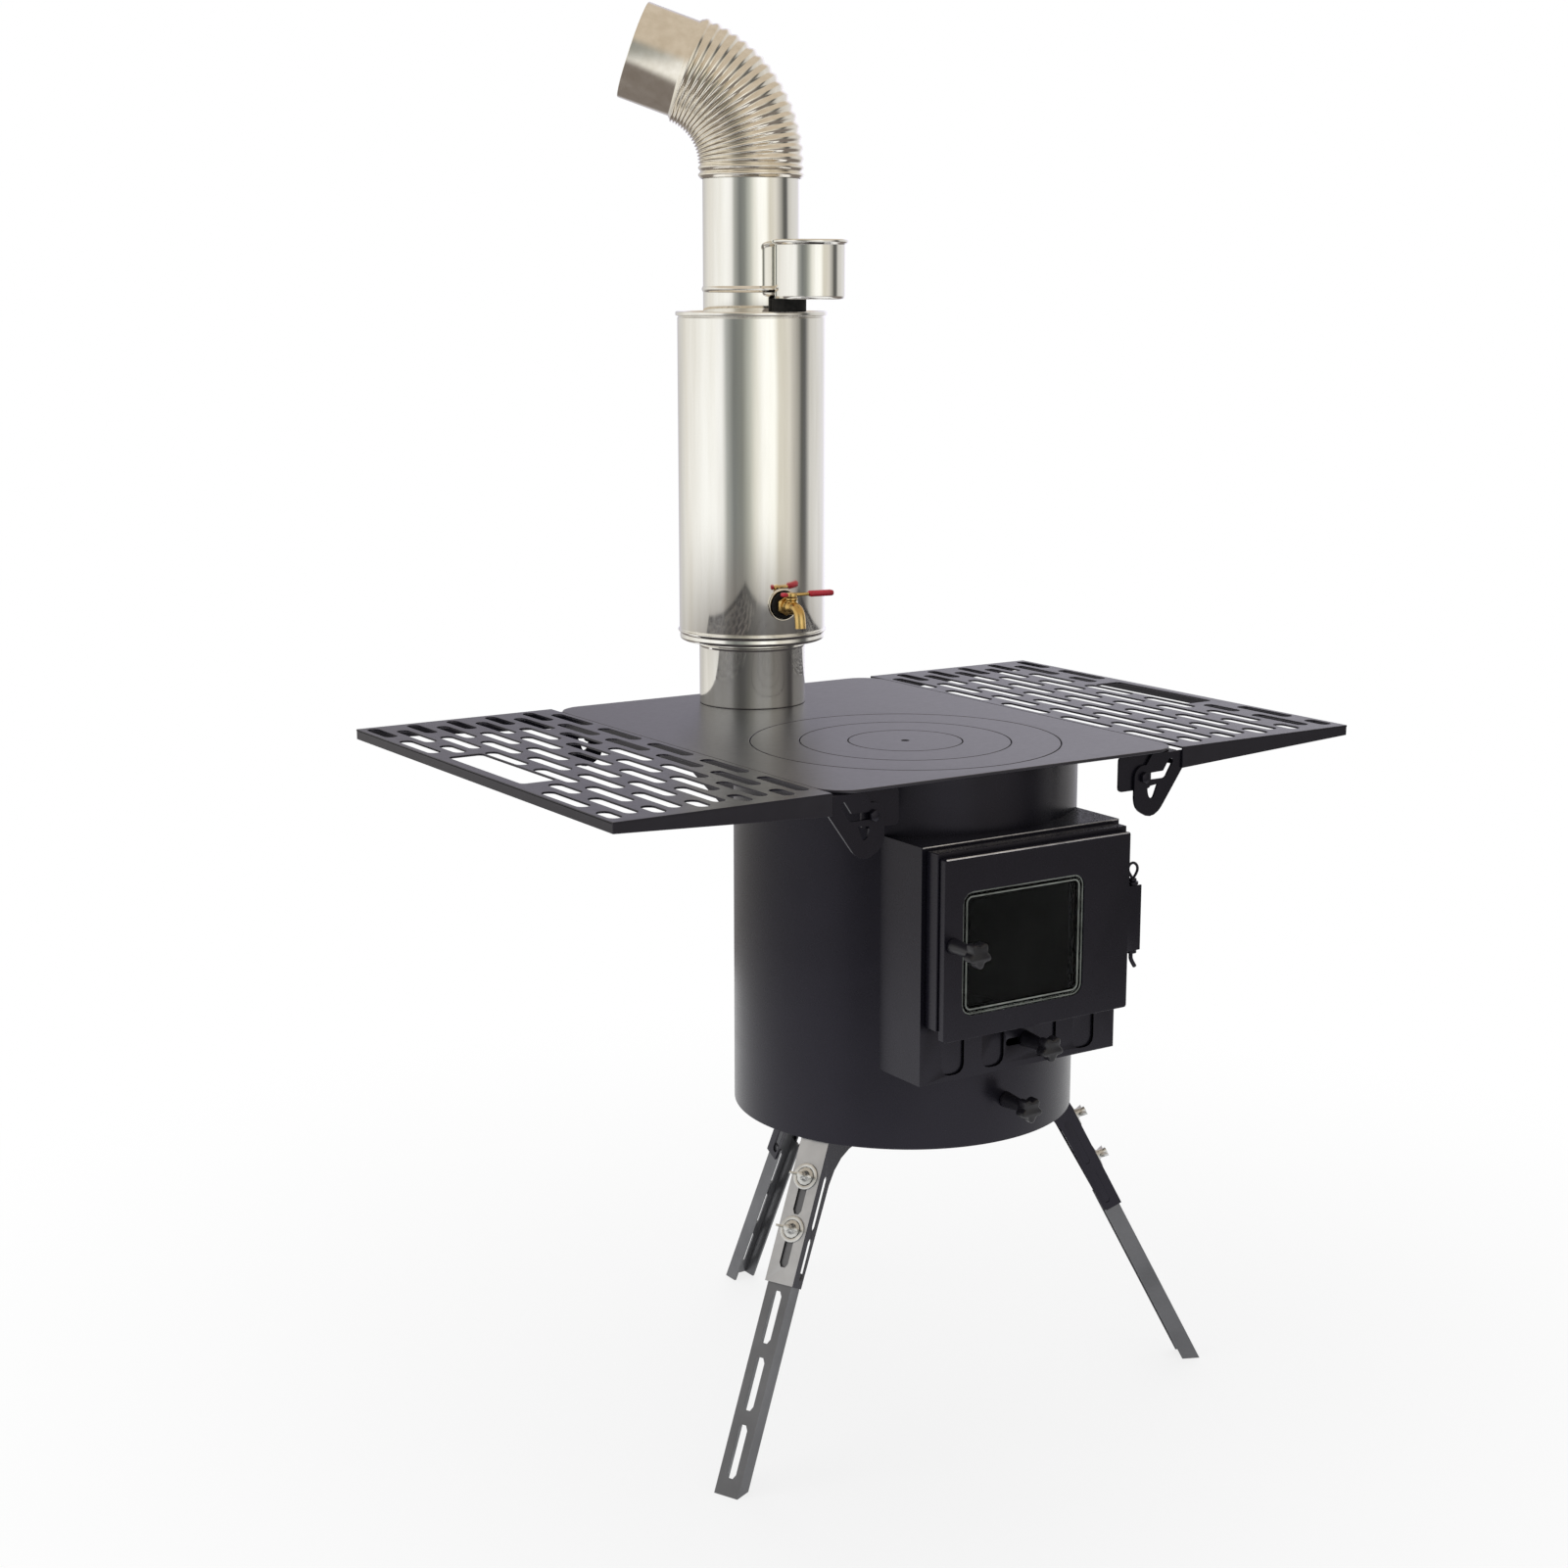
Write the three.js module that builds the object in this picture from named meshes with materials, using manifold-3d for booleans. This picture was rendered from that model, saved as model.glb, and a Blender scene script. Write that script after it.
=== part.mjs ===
// Tent wood stove: a sheet-steel drum on three telescopic legs, with a cooking plate and its lift-out
// rings, two fold-down grille shelves, a glazed door with an air shutter below it, and a stainless
// chimney that carries a water tank.
// Millimetres, +Z up. While it is built, the drum's axis is x = y = 0, the door faces -Y and the floor
// is z = 0; at the end the whole group is moved so that the middle of its base is the origin.
import * as THREE from 'three';
import { mergeVertices } from 'three/addons/utils/BufferGeometryUtils.js';
import Module from 'manifold-3d';

const wasm = await Module();
wasm.setup();

// ---- driving dimensions ----------------------------------------------------------------------------

const seatGap = 0.3; // between pieces that rest on each other
const slideGap = 0.5; // between pieces that move past each other
const sheet = 2; // drum, housing, shelf and leg steel
const roundSides = 36; // facets round the drum and the rings
const pipeSides = 24; // facets round the chimney

// cooking plate
const plateTop = 650; // above the floor
const plateWidth = 400;
const plateDepth = 515;
const plateFront = 171; // drum axis to front edge
const plateThickness = 3;
const plateCorner = 38;

// lift-out rings
const ringOuterRadius = 148.5;
const ringMiddleRadius = 101;
const ringInnerRadius = 54.5;
const ringGap = 0.8;
const ledgeWidth = 6;
const ledgeThickness = 2.5;
const lidHoleRadius = 4;

// drum
const drumRadius = 165;
const ashDepth = 40; // riddle plate to the drum's bottom
const baseThickness = 2;
const baseRim = 14;

// door housing on the drum's front
const housingWidth = 226;
const housingHeight = 220;
const housingDrop = 57; // plate top to housing top
const housingFront = 183; // drum axis to front face
const passageMargin = 14; // the drum's opening stays this far inside the housing

// door frame that stands out of the housing
const frameWidth = 216;
const frameHeight = 162;
const frameDrop = 60;
const frameDepth = 17;
const frameLip = 8;

// door
const doorWidth = 212;
const doorHeight = 167;
const doorDrop = 64;
const doorDepth = 7.6;
const windowWidth = 138;
const windowHeight = 114;
const windowDrop = 96;
const windowShift = -16.5; // window centre, left of the door's centre
const windowCorner = 11;
const glassOverlap = 3;
const glassThickness = 3;
const gasketThickness = 3;
const gasketBand = 7;
const retainerThickness = 1.2;

// door hinge
const hingeReach = 8.5; // door edge to pin axis
const pinRadius = 2;
const knuckleRadius = 4.2;
const tabWidth = 15;
const tabHeight = 62;
const tabDrop = 116;
const earThickness = 2.5;

// star knobs and the turn latch
const knobRadius = 12;
const knobLobe = 1.9;
const knobThickness = 12;
const knobLobes = 5;
const knobReach = 40; // face to the knob's outer end
const stemRadius = 5.5;
const shaftRadius = 3;
const latchInset = 10; // door edge to latch shaft
const latchDrop = 143;
const latchBarLength = 18;
const latchBarWidth = 6;

// air slots and their shutter
const ventWidth = 25;
const ventHeight = 40;
const ventCorner = 9;
const ventPitch = 45.5;
const ventMiddlePitch = 61;
const ventRise = 5; // housing bottom to the slots
const shutterThickness = 1.5;
const shutterCover = 1; // beyond a slot on each side
const shutterTravel = 20;
const shutterKnobShift = 8;

// fire grate and the riddle plate under it
const grateDrop = 290;
const grateThickness = 4;
const grateRadius = 150;
const grateSlotPitch = 26;
const grateSlotWidth = 10;
const grateLedge = 7; // under the grate's edge
const riddleDrop = 314;
const riddleThickness = 3;
const riddleRadius = 108;
const riddleTravel = 30;
const railSpread = 96;

// smoke duct and flue
const flueOffset = 274; // behind the drum's axis
const ductWidth = 124;
const ductRearDepth = 55;
const ductFrontDepth = 142;
const ductRearMargin = 8; // plate's rear edge to the duct
const sleeveRadius = 55;
const pipeWall = 0.8;
const collarHeight = 30;
const sleeveHeight = 67;

// water tank
const tankRadius = 75.5;
const tankHeight = 335;
const tankWall = 1;
const tankBoreRadius = 46.5;
const tankSides = 28;
const seamRise = 10;
const seamBead = 1.8;

// filler cup
const cupRadius = 35;
const cupHeight = 58;
const cupBead = 3.2;
const cupReach = 88; // flue axis to cup axis
const neckReach = 57;
const neckRadius = 10;
const gasketRadius = 17.5;
const gasketHeight = 12;
const cupAngle = 9; // degrees from the front, towards +X

// upper pipe and corrugated elbow
const upperRadius = 49;
const upperHeight = 131;
const elbowCollar = 14; // straight, over the pipe's end
const beadRise = 22;
const elbowBend = 70; // degrees
const elbowRadius = 98;
const elbowRibs = 17;
const ribPeak = 53.4;
const ribValley = 51;
const elbowSides = 20;
const cuffRadius = 48.6;
const cuffLength = 56;
const elbowAngle = 147; // degrees from +X, seen from above

// tap
const tapAngle = -8;
const tapRise = 43; // above the tank's bottom
const dishRadius = 16;
const washerRadius = 13.5;
const tapNutRadius = 10;
const tapReach = 24;
const spoutRadius = 5.5;
const leverLength = 46;
const leverThickness = 3;

// shelves
const shelfReach = 216;
const shelfColumns = 10;
const columnPitch = 21.3;
const slotWidth = 12;
const slotLength = 72;
const slotPitch = 97;
const slotRearMargin = 8;
const slotFrontMargin = 40;
const handleLength = 150;
const handleWidth = 35;
const handleMargin = 11;
const handleClear = 14; // handle to the nearest slot end
const flangeOuterDepth = 10;
const flangeInnerDepth = 20.5;

// shelf arms and their fixed brackets
const pivotInset = 45; // plate's side edge to pivot
const pivotDrop = 25;
const armThickness = 2.5;
const armSlot = 6.6;
const armOverlap = 36; // behind the shelf's flange
const bracketWidth = 40;
const bracketDepth = 37;
const railDepth = 14;
const boltRadius = 3;

// legs
const legAngles = { left: -66, right: 66, rear: 180 }; // degrees from the front, towards +X
const legAttach = 160; // drum axis to the leg's outer face, at the drum's bottom
const legSplay = 27.5; // degrees from upright
const socketLength = 137;
const socketWidth = 30;
const socketDepth = 20;
const legDepth = 16;
const legTravel = 32; // the leg draws this far out of its socket
const boltDrops = [36, 86]; // below the drum, along the leg
const travelSlotWidth = 9;
const cheekSlots = [[31, 83], [90, 130]];
const cheekSlotWidth = 7;
const legSlotWidth = 10;
const legSlotLength = 50;
const legSlotPitch = 62;
const legSlotStart = 143;
const legSlotCount = 3;
const washerSize = 8.5;

// ---- sizes that follow from them -------------------------------------------------------------------

const plateBottom = plateTop - plateThickness;
const plateBack = plateDepth - plateFront;
const drumBottom = plateTop - riddleDrop - ashDepth;
const housingTop = plateTop - housingDrop;
const housingBottom = housingTop - housingHeight;
const frameFront = housingFront + frameDepth;
const frameTop = plateTop - frameDrop;
const doorBack = frameFront + 0.6;
const doorFront = doorBack + doorDepth;
const doorTop = plateTop - doorDrop;
const doorBottom = doorTop - doorHeight;
const pinX = doorWidth / 2 + hingeReach;
const pinY = -(doorFront - sheet - knuckleRadius + 0.8);
const tankBottom = plateTop + sleeveHeight;
const tankTop = tankBottom + tankHeight;
const upperTop = tankTop + upperHeight;
const pivotX = plateWidth / 2 - pivotInset;
const pivotZ = plateTop - pivotDrop;
const shelfInner = plateWidth / 2 + slideGap;
const legSlopeRadians = THREE.MathUtils.degToRad(legSplay);

// ---- geometry helpers ------------------------------------------------------------------------------

function weld(geometry) {
  const bare = geometry.clone();
  bare.deleteAttribute('normal');
  bare.deleteAttribute('uv');
  const merged = mergeVertices(bare, 1e-4);
  const corners = merged.index.array;
  const kept = [];
  for (let i = 0; i < corners.length; i += 3) {
    const [a, b, c] = [corners[i], corners[i + 1], corners[i + 2]];
    if (a !== b && b !== c && c !== a) kept.push(a, b, c);
  }
  merged.setIndex(kept);
  return merged;
}

function toSolid(geometry) {
  const merged = weld(geometry);
  const vertProperties = new Float32Array(merged.attributes.position.array);
  const triVerts = new Uint32Array(merged.index.array);
  return new wasm.Manifold(new wasm.Mesh({ numProp: 3, vertProperties, triVerts }));
}

function toGeometry(solid) {
  const mesh = solid.getMesh();
  const geometry = new THREE.BufferGeometry();
  geometry.setAttribute('position', new THREE.BufferAttribute(new Float32Array(mesh.vertProperties), 3));
  geometry.setIndex(Array.from(mesh.triVerts));
  geometry.computeVertexNormals();
  return geometry;
}

function join(...parts) {
  return toGeometry(parts.map(toSolid).reduce((whole, part) => whole.add(part)));
}

function cut(body, ...tools) {
  return toGeometry(tools.map(toSolid).reduce((rest, tool) => rest.subtract(tool), toSolid(body)));
}

function block(x0, x1, y0, y1, z0, z1) {
  const box = new THREE.BoxGeometry(x1 - x0, y1 - y0, z1 - z0);
  return box.translate((x0 + x1) / 2, (y0 + y1) / 2, (z0 + z1) / 2);
}

// a closed profile of [radius, height] points turned about +Z
function revolve(profile, sides) {
  let twiceArea = 0;
  profile.forEach(([r, h], i) => {
    const [nextR, nextH] = profile[(i + 1) % profile.length];
    twiceArea += r * nextH - nextR * h;
  });
  const ordered = twiceArea > 0 ? profile : [...profile].reverse();
  const loop = [...ordered, ordered[0]].map(([r, h]) => new THREE.Vector2(r, h));
  return new THREE.LatheGeometry(loop, sides).rotateX(Math.PI / 2);
}

// a tube between two radii and two heights, on the axis at (x, y)
function tube(inner, outer, z0, z1, sides, x = 0, y = 0) {
  const profile = [[inner, z0], [outer, z0], [outer, z1], [inner, z1]];
  return revolve(profile, sides).translate(x, y, 0);
}

function rod(radius, z0, z1, sides, x = 0, y = 0) {
  return new THREE.CylinderGeometry(radius, radius, z1 - z0, sides)
    .rotateX(Math.PI / 2)
    .translate(x, y, (z0 + z1) / 2);
}

// a cylinder along Y
function rodY(radius, y0, y1, sides, x, z) {
  return new THREE.CylinderGeometry(radius, radius, y1 - y0, sides).translate(x, (y0 + y1) / 2, z);
}

// a rectangle with rounded corners, each drawn with a few straight segments
function roundedRectangle(x0, x1, y0, y1, radius, segments = 3, Kind = THREE.Shape) {
  const corners = [
    [x1 - radius, y0 + radius, -90],
    [x1 - radius, y1 - radius, 0],
    [x0 + radius, y1 - radius, 90],
    [x0 + radius, y0 + radius, 180],
  ];
  const points = corners.flatMap(([x, y, start]) => Array.from({ length: segments + 1 }, (_, i) => {
    const angle = THREE.MathUtils.degToRad(start + (90 * i) / segments);
    return new THREE.Vector2(x + radius * Math.cos(angle), y + radius * Math.sin(angle));
  }));
  return new Kind(points);
}

// a slot with round ends, drawn along its second coordinate
function stadium(x, low, high, width, Kind = THREE.Shape) {
  const radius = width / 2;
  const ends = [[high - radius, 0], [low + radius, 180]];
  const points = ends.flatMap(([y, start]) => [0, 60, 120, 180].map((turn) => {
    const angle = THREE.MathUtils.degToRad(start + turn);
    return new THREE.Vector2(x + radius * Math.cos(angle), y + radius * Math.sin(angle));
  }));
  return new Kind(points);
}

function polygon(points) {
  return new THREE.Shape(points.map(([x, y]) => new THREE.Vector2(x, y)));
}

// a shape drawn in the XY plane, thickened from z0 to z1
function slab(shape, z0, z1, curveSegments = 3) {
  const settings = { depth: z1 - z0, bevelEnabled: false, curveSegments };
  return new THREE.ExtrudeGeometry(shape, settings).translate(0, 0, z0);
}

// a shape drawn as (x, z), thickened from y0 to y1
function upright(shape, y0, y1, curveSegments = 3) {
  const settings = { depth: y1 - y0, bevelEnabled: false, curveSegments };
  return new THREE.ExtrudeGeometry(shape, settings).rotateX(Math.PI / 2).translate(0, y1, 0);
}

// a shape drawn as (y, z), thickened from x0 to x1
function sideways(shape, x0, x1, curveSegments = 3) {
  const settings = { depth: x1 - x0, bevelEnabled: false, curveSegments };
  return new THREE.ExtrudeGeometry(shape, settings)
    .rotateX(Math.PI / 2)
    .rotateZ(Math.PI / 2)
    .translate(x0, 0, 0);
}

function mirrored(geometry) {
  const flipped = weld(geometry).scale(-1, 1, 1);
  const corners = flipped.index.array;
  for (let i = 0; i < corners.length; i += 3) {
    [corners[i + 1], corners[i + 2]] = [corners[i + 2], corners[i + 1]];
  }
  return flipped;
}

// a point at an angle from the front, turning towards +X
function aroundFront(degrees, reach) {
  const angle = THREE.MathUtils.degToRad(degrees);
  return [reach * Math.sin(angle), -reach * Math.cos(angle)];
}

const stove = new THREE.Group();

function add(name, geometry, color, roughness, metalness, parent = stove) {
  const material = new THREE.MeshStandardMaterial({ color, roughness, metalness });
  const mesh = new THREE.Mesh(geometry, material);
  mesh.name = name;
  parent.add(mesh);
  return mesh;
}

const painted = (name, geometry) => add(name, geometry, 0x1d1c20, 0.45, 0.3);
const stainless = (name, geometry) => add(name, geometry, 0xd8d2c2, 0.18, 1);
const zinc = (name, geometry) => add(name, geometry, 0x9a9a98, 0.4, 0.9);

// ---- cooking plate and its rings -------------------------------------------------------------------

function cookingPlate() {
  const outline = roundedRectangle(-plateWidth / 2, plateWidth / 2, -plateFront, plateBack, plateCorner);
  const plate = slab(outline, plateBottom, plateTop, 4);
  const cookHole = rod(ringOuterRadius + ringGap, plateBottom - 1, plateTop + 1, roundSides);
  const flueHole = rod(sleeveRadius - pipeWall, plateBottom - 1, plateTop + 1, pipeSides, 0, flueOffset);
  const ledgeTop = plateBottom - seatGap;
  const outer = ringOuterRadius + ledgeWidth;
  const ledge = revolve([
    [ringOuterRadius - ledgeWidth, ledgeTop - ledgeThickness],
    [outer, ledgeTop - ledgeThickness],
    [outer, plateBottom + 1],
    [ringOuterRadius + ringGap, plateBottom + 1],
    [ringOuterRadius + ringGap, ledgeTop],
    [ringOuterRadius - ledgeWidth, ledgeTop],
  ], roundSides);
  return join(cut(plate, cookHole, flueHole), ledge);
}

// a flat ring whose inner edge carries a ledge for the next one in
function liftOutRing(outer, inner) {
  const underside = plateBottom + seatGap;
  const ledgeTop = plateBottom - seatGap;
  const profile = [
    [inner + ringGap, plateTop],
    [inner + ringGap, ledgeTop],
    [inner - ledgeWidth, ledgeTop],
    [inner - ledgeWidth, ledgeTop - ledgeThickness],
    [inner + ledgeWidth, ledgeTop - ledgeThickness],
    [inner + ledgeWidth, underside],
    [outer, underside],
    [outer, plateTop],
  ];
  return revolve(profile, roundSides);
}

function centreLid() {
  return tube(lidHoleRadius, ringInnerRadius, plateBottom + seatGap, plateTop, roundSides);
}

painted('cooking_plate', cookingPlate());
painted('outer_ring', liftOutRing(ringOuterRadius, ringMiddleRadius));
painted('inner_ring', liftOutRing(ringMiddleRadius, ringInnerRadius));
painted('centre_lid', centreLid());

// ---- drum ------------------------------------------------------------------------------------------

const passageWidth = housingWidth - 2 * passageMargin;

function drumShell() {
  const shell = tube(drumRadius - sheet, drumRadius, drumBottom, plateBottom - seatGap, roundSides);
  const half = passageWidth / 2;
  const doorway = block(-half, half, -2 * drumRadius, 0, housingBottom + passageMargin, housingTop - passageMargin);
  const ductHalf = ductWidth / 2 - 2 * sheet;
  const smokeWay = block(-ductHalf, ductHalf, 0, 2 * drumRadius, plateTop - ductFrontDepth + 20, plateBottom - 10);
  const rodHole = rodY(shaftRadius + slideGap, -2 * drumRadius, 0, 12, 0, plateTop - riddleDrop);
  const ledgeTop = plateTop - grateDrop - grateThickness - seatGap;
  const inner = drumRadius - sheet;
  const ledge = tube(grateRadius - grateLedge, inner + 0.5, ledgeTop - sheet, ledgeTop, roundSides);
  return join(cut(shell, doorway, smokeWay, rodHole), ledge);
}

function drumBase() {
  const outer = drumRadius - sheet - seatGap;
  const profile = [
    [0, drumBottom],
    [outer, drumBottom],
    [outer, drumBottom + baseRim],
    [outer - baseThickness, drumBottom + baseRim],
    [outer - baseThickness, drumBottom + baseThickness],
    [0, drumBottom + baseThickness],
  ];
  const pan = new THREE.LatheGeometry(profile.map(([r, h]) => new THREE.Vector2(r, h)), roundSides)
    .rotateX(Math.PI / 2);
  return join(pan, ...riddleRails());
}

// two upright rails on the base that carry the riddle plate
function riddleRails() {
  const foot = drumBottom + baseThickness - 0.5;
  const top = plateTop - riddleDrop - riddleThickness / 2 - seatGap;
  const half = 60;
  return [-1, 1].flatMap((side) => [
    block(side * railSpread - sheet / 2, side * railSpread + sheet / 2, -half, half, foot, top - sheet / 2),
    block(side * railSpread - 7, side * railSpread + 7, -half, half, top - sheet, top),
  ]);
}

painted('drum_shell', drumShell());
painted('drum_base', drumBase());

// ---- fire grate, its lugs and the riddle plate -----------------------------------------------------

const drumInner = drumRadius - sheet;

// long slots across a round plate, each as long as the plate is wide there
function barSlots(radius, margin, z0, z1) {
  const slots = [];
  const last = Math.floor((radius - margin - grateSlotWidth / 2) / grateSlotPitch);
  for (let i = -last; i <= last; i += 1) {
    const x = i * grateSlotPitch;
    const half = Math.sqrt((radius - margin) ** 2 - (Math.abs(x) + grateSlotWidth / 2) ** 2);
    slots.push(slab(stadium(x, -half, half, grateSlotWidth), z0 - 1, z1 + 1));
  }
  return slots;
}

function fireGrate() {
  const top = plateTop - grateDrop;
  const disc = rod(grateRadius, top - grateThickness, top, roundSides);
  return cut(disc, ...barSlots(grateRadius, 12, top - grateThickness, top));
}

function riddlePlate() {
  const middle = plateTop - riddleDrop;
  const low = middle - riddleThickness / 2;
  const high = middle + riddleThickness / 2;
  const disc = rod(riddleRadius, low, high, roundSides);
  return cut(disc, ...barSlots(riddleRadius, 14, low, high));
}

function riddleRod() {
  const middle = plateTop - riddleDrop;
  const low = middle - riddleThickness / 2 - seatGap;
  const bar = rodY(shaftRadius, -drumRadius - knobReach + knobThickness, -riddleRadius + 4, 12, 0, middle);
  const foot = block(-8, 8, -riddleRadius - 6, -riddleRadius + 12, low - 3, low);
  const web = block(-shaftRadius, shaftRadius, -riddleRadius - 6, -riddleRadius - 2, low - 2, middle);
  const clear = rod(riddleRadius + seatGap, low, middle + 5, roundSides);
  return join(cut(bar, clear), foot, web);
}

painted('fire_grate', fireGrate());
painted('riddle_plate', riddlePlate());
zinc('riddle_rod', riddleRod());

// ---- door housing and door frame -------------------------------------------------------------------

const ventCentres = [
  -ventMiddlePitch / 2 - ventPitch,
  -ventMiddlePitch / 2,
  ventMiddlePitch / 2,
  ventMiddlePitch / 2 + ventPitch,
];
const ventBottom = housingBottom + ventRise;
const ventTop = ventBottom + ventHeight;
const shutterKnobZ = ventBottom + ventHeight / 2;
const shutterY = -housingFront + sheet + slideGap;
const shutterEnd = ventCentres[3] + ventWidth / 2 + shutterCover;
const frameBottom = frameTop - frameHeight;
const frameOpeningHalf = frameWidth / 2 - frameLip;

function doorHousing() {
  const half = housingWidth / 2;
  const shell = block(-half, half, -housingFront, -drumRadius / 2, housingBottom, housingTop);
  const hollow = block(-half + sheet, half - sheet, -housingFront + sheet, 0, housingBottom + sheet,
    housingTop - sheet);
  const drum = rod(drumRadius + seatGap, housingBottom - 1, housingTop + 1, roundSides);
  const doorway = block(-frameOpeningHalf, frameOpeningHalf, -housingFront - 1, -housingFront + sheet + 1,
    frameBottom + frameLip, frameTop - frameLip);
  const vents = ventCentres.map((x) => upright(
    roundedRectangle(x - ventWidth / 2, x + ventWidth / 2, ventBottom, ventTop, ventCorner),
    -housingFront - 1, -housingFront + sheet + 1,
  ));
  const slotHalf = shaftRadius + slideGap;
  const knobSlot = upright(
    roundedRectangle(shutterKnobShift - shutterTravel - slotHalf, shutterKnobShift + slotHalf,
      shutterKnobZ - slotHalf, shutterKnobZ + slotHalf, slotHalf - 0.2, 2),
    -housingFront - 1, -housingFront + sheet + 1,
  );
  return join(cut(shell, hollow, drum, doorway, ...vents, knobSlot), shutterRunner());
}

function doorFrame() {
  const half = frameWidth / 2;
  const back = -housingFront - seatGap;
  return cut(
    block(-half, half, -frameFront, back, frameBottom, frameTop),
    block(-half + sheet, half - sheet, -frameFront + sheet, back + 1, frameBottom + sheet, frameTop - sheet),
    block(-frameOpeningHalf, frameOpeningHalf, -frameFront - 1, back, frameBottom + frameLip,
      frameTop - frameLip),
  );
}

painted('door_housing', doorHousing());
painted('door_frame', doorFrame());

// ---- star knobs ------------------------------------------------------------------------------------

// a lobed knob on a tapered stem, turned about Y, its stem starting at y and the knob towards -Y
function starKnob(x, y, z) {
  const points = [];
  const steps = knobLobes * 5;
  for (let i = 0; i < steps; i += 1) {
    const angle = (2 * Math.PI * i) / steps;
    const radius = knobRadius - knobLobe + knobLobe * Math.cos(knobLobes * angle + Math.PI);
    points.push([radius * Math.sin(angle), radius * Math.cos(angle)]);
  }
  const bevel = 1.6;
  const settings = {
    depth: knobThickness - 2 * bevel, bevelEnabled: true, bevelThickness: bevel, bevelSize: bevel,
    bevelOffset: -bevel, bevelSegments: 1,
  };
  const head = new THREE.ExtrudeGeometry(polygon(points), settings)
    .rotateX(Math.PI / 2)
    .translate(0, -knobReach + knobThickness - bevel, 0);
  const stemLength = knobReach - knobThickness;
  const stem = new THREE.CylinderGeometry(stemRadius, stemRadius + 2, stemLength, 12)
    .rotateX(Math.PI)
    .translate(0, -stemLength / 2 - 0.1, 0);
  return join(head, stem).translate(x, y, z);
}

// ---- air shutter -----------------------------------------------------------------------------------

function airShutter() {
  const low = housingBottom + sheet + slideGap;
  const high = ventTop + 4;
  const plate = block(-shutterEnd, shutterEnd, shutterY, shutterY + shutterThickness, low, high);
  const bladeHalf = ventWidth / 2 + shutterCover;
  const gaps = [
    [ventCentres[0] + bladeHalf, ventCentres[1] - bladeHalf],
    [ventCentres[1] + bladeHalf, ventCentres[1] + bladeHalf + ventPitch - 2 * bladeHalf],
    [ventCentres[2] + bladeHalf, ventCentres[3] - bladeHalf],
  ];
  const windows = gaps.map(([x0, x1]) => block(x0, x1, shutterY - 1, shutterY + 3, ventBottom + 2, ventTop - 2));
  const stud = rodY(shaftRadius, -housingFront - 6, shutterY + 1, 12, shutterKnobShift, shutterKnobZ);
  return join(cut(plate, ...windows), stud);
}

// the shutter's upper runner, hooked behind its edge and welded to the housing
function shutterRunner() {
  const edge = ventTop + 4;
  const face = -housingFront + sheet / 2;
  const back = shutterY + shutterThickness + slideGap;
  const profile = polygon([
    [face, edge + slideGap],
    [back, edge + slideGap],
    [back, edge - 3],
    [back + sheet, edge - 3],
    [back + sheet, edge + slideGap + sheet],
    [face, edge + slideGap + sheet],
  ]);
  return sideways(profile, -housingWidth / 2 + sheet / 2, housingWidth / 2 - sheet / 2);
}

function shutterKnob() {
  const knob = starKnob(shutterKnobShift, -housingFront - slideGap, shutterKnobZ);
  return cut(knob, rodY(shaftRadius + seatGap, -housingFront - 6.5, -housingFront, 12, shutterKnobShift,
    shutterKnobZ));
}

zinc('air_shutter', airShutter());
painted('air_knob', shutterKnob());

function riddleKnob() {
  const z = plateTop - riddleDrop;
  const knob = starKnob(0, -drumRadius - slideGap, z);
  const tip = -drumRadius - knobReach + knobThickness - seatGap;
  return cut(knob, rodY(shaftRadius + seatGap, tip, -drumRadius + 1, 12, 0, z));
}

painted('riddle_knob', riddleKnob());

// ---- door ------------------------------------------------------------------------------------------

const windowMiddle = plateTop - windowDrop - windowHeight / 2;
const glassBack = -doorFront + sheet + seatGap + glassThickness;
const latchX = -doorWidth / 2 + latchInset;
const latchZ = plateTop - latchDrop;
const tabTop = plateTop - tabDrop;

function windowOutline(grow, radius) {
  const halfWidth = windowWidth / 2 + grow;
  const halfHeight = windowHeight / 2 + grow;
  return roundedRectangle(windowShift - halfWidth, windowShift + halfWidth, windowMiddle - halfHeight,
    windowMiddle + halfHeight, radius);
}

function doorPanel() {
  const half = doorWidth / 2;
  const pan = upright(roundedRectangle(-half, half, doorBottom, doorTop, 2.5), -doorFront, -doorBack);
  const hollow = upright(
    roundedRectangle(-half + sheet, half - sheet, doorBottom + sheet, doorTop - sheet, 1.5),
    -doorFront + sheet, -doorBack + 1,
  );
  const opening = upright(windowOutline(0, windowCorner), -doorFront - 1, -doorFront + sheet + 1, 4);
  const shaftHole = rodY(shaftRadius + slideGap, -doorFront - 1, -doorFront + sheet + 1, 12, latchX, latchZ);
  const tab = block(half - 1, half + tabWidth, -doorFront, -doorFront + sheet, tabTop - tabHeight, tabTop);
  const knuckle = rod(knuckleRadius, tabTop - tabHeight, tabTop, 20, pinX, pinY);
  const pinHole = rod(pinRadius + seatGap, tabTop - tabHeight - 1, tabTop + 1, 16, pinX, pinY);
  return cut(join(cut(pan, hollow, opening, shaftHole), tab, knuckle), pinHole);
}

function windowGlass() {
  const front = -doorFront + sheet + seatGap;
  const outline = windowOutline(glassOverlap, windowCorner + glassOverlap);
  return upright(outline, front, front + glassThickness, 4);
}

const retainerGrip = 5; // over the glass
const retainerFoot = 3; // beyond the glass

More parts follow.
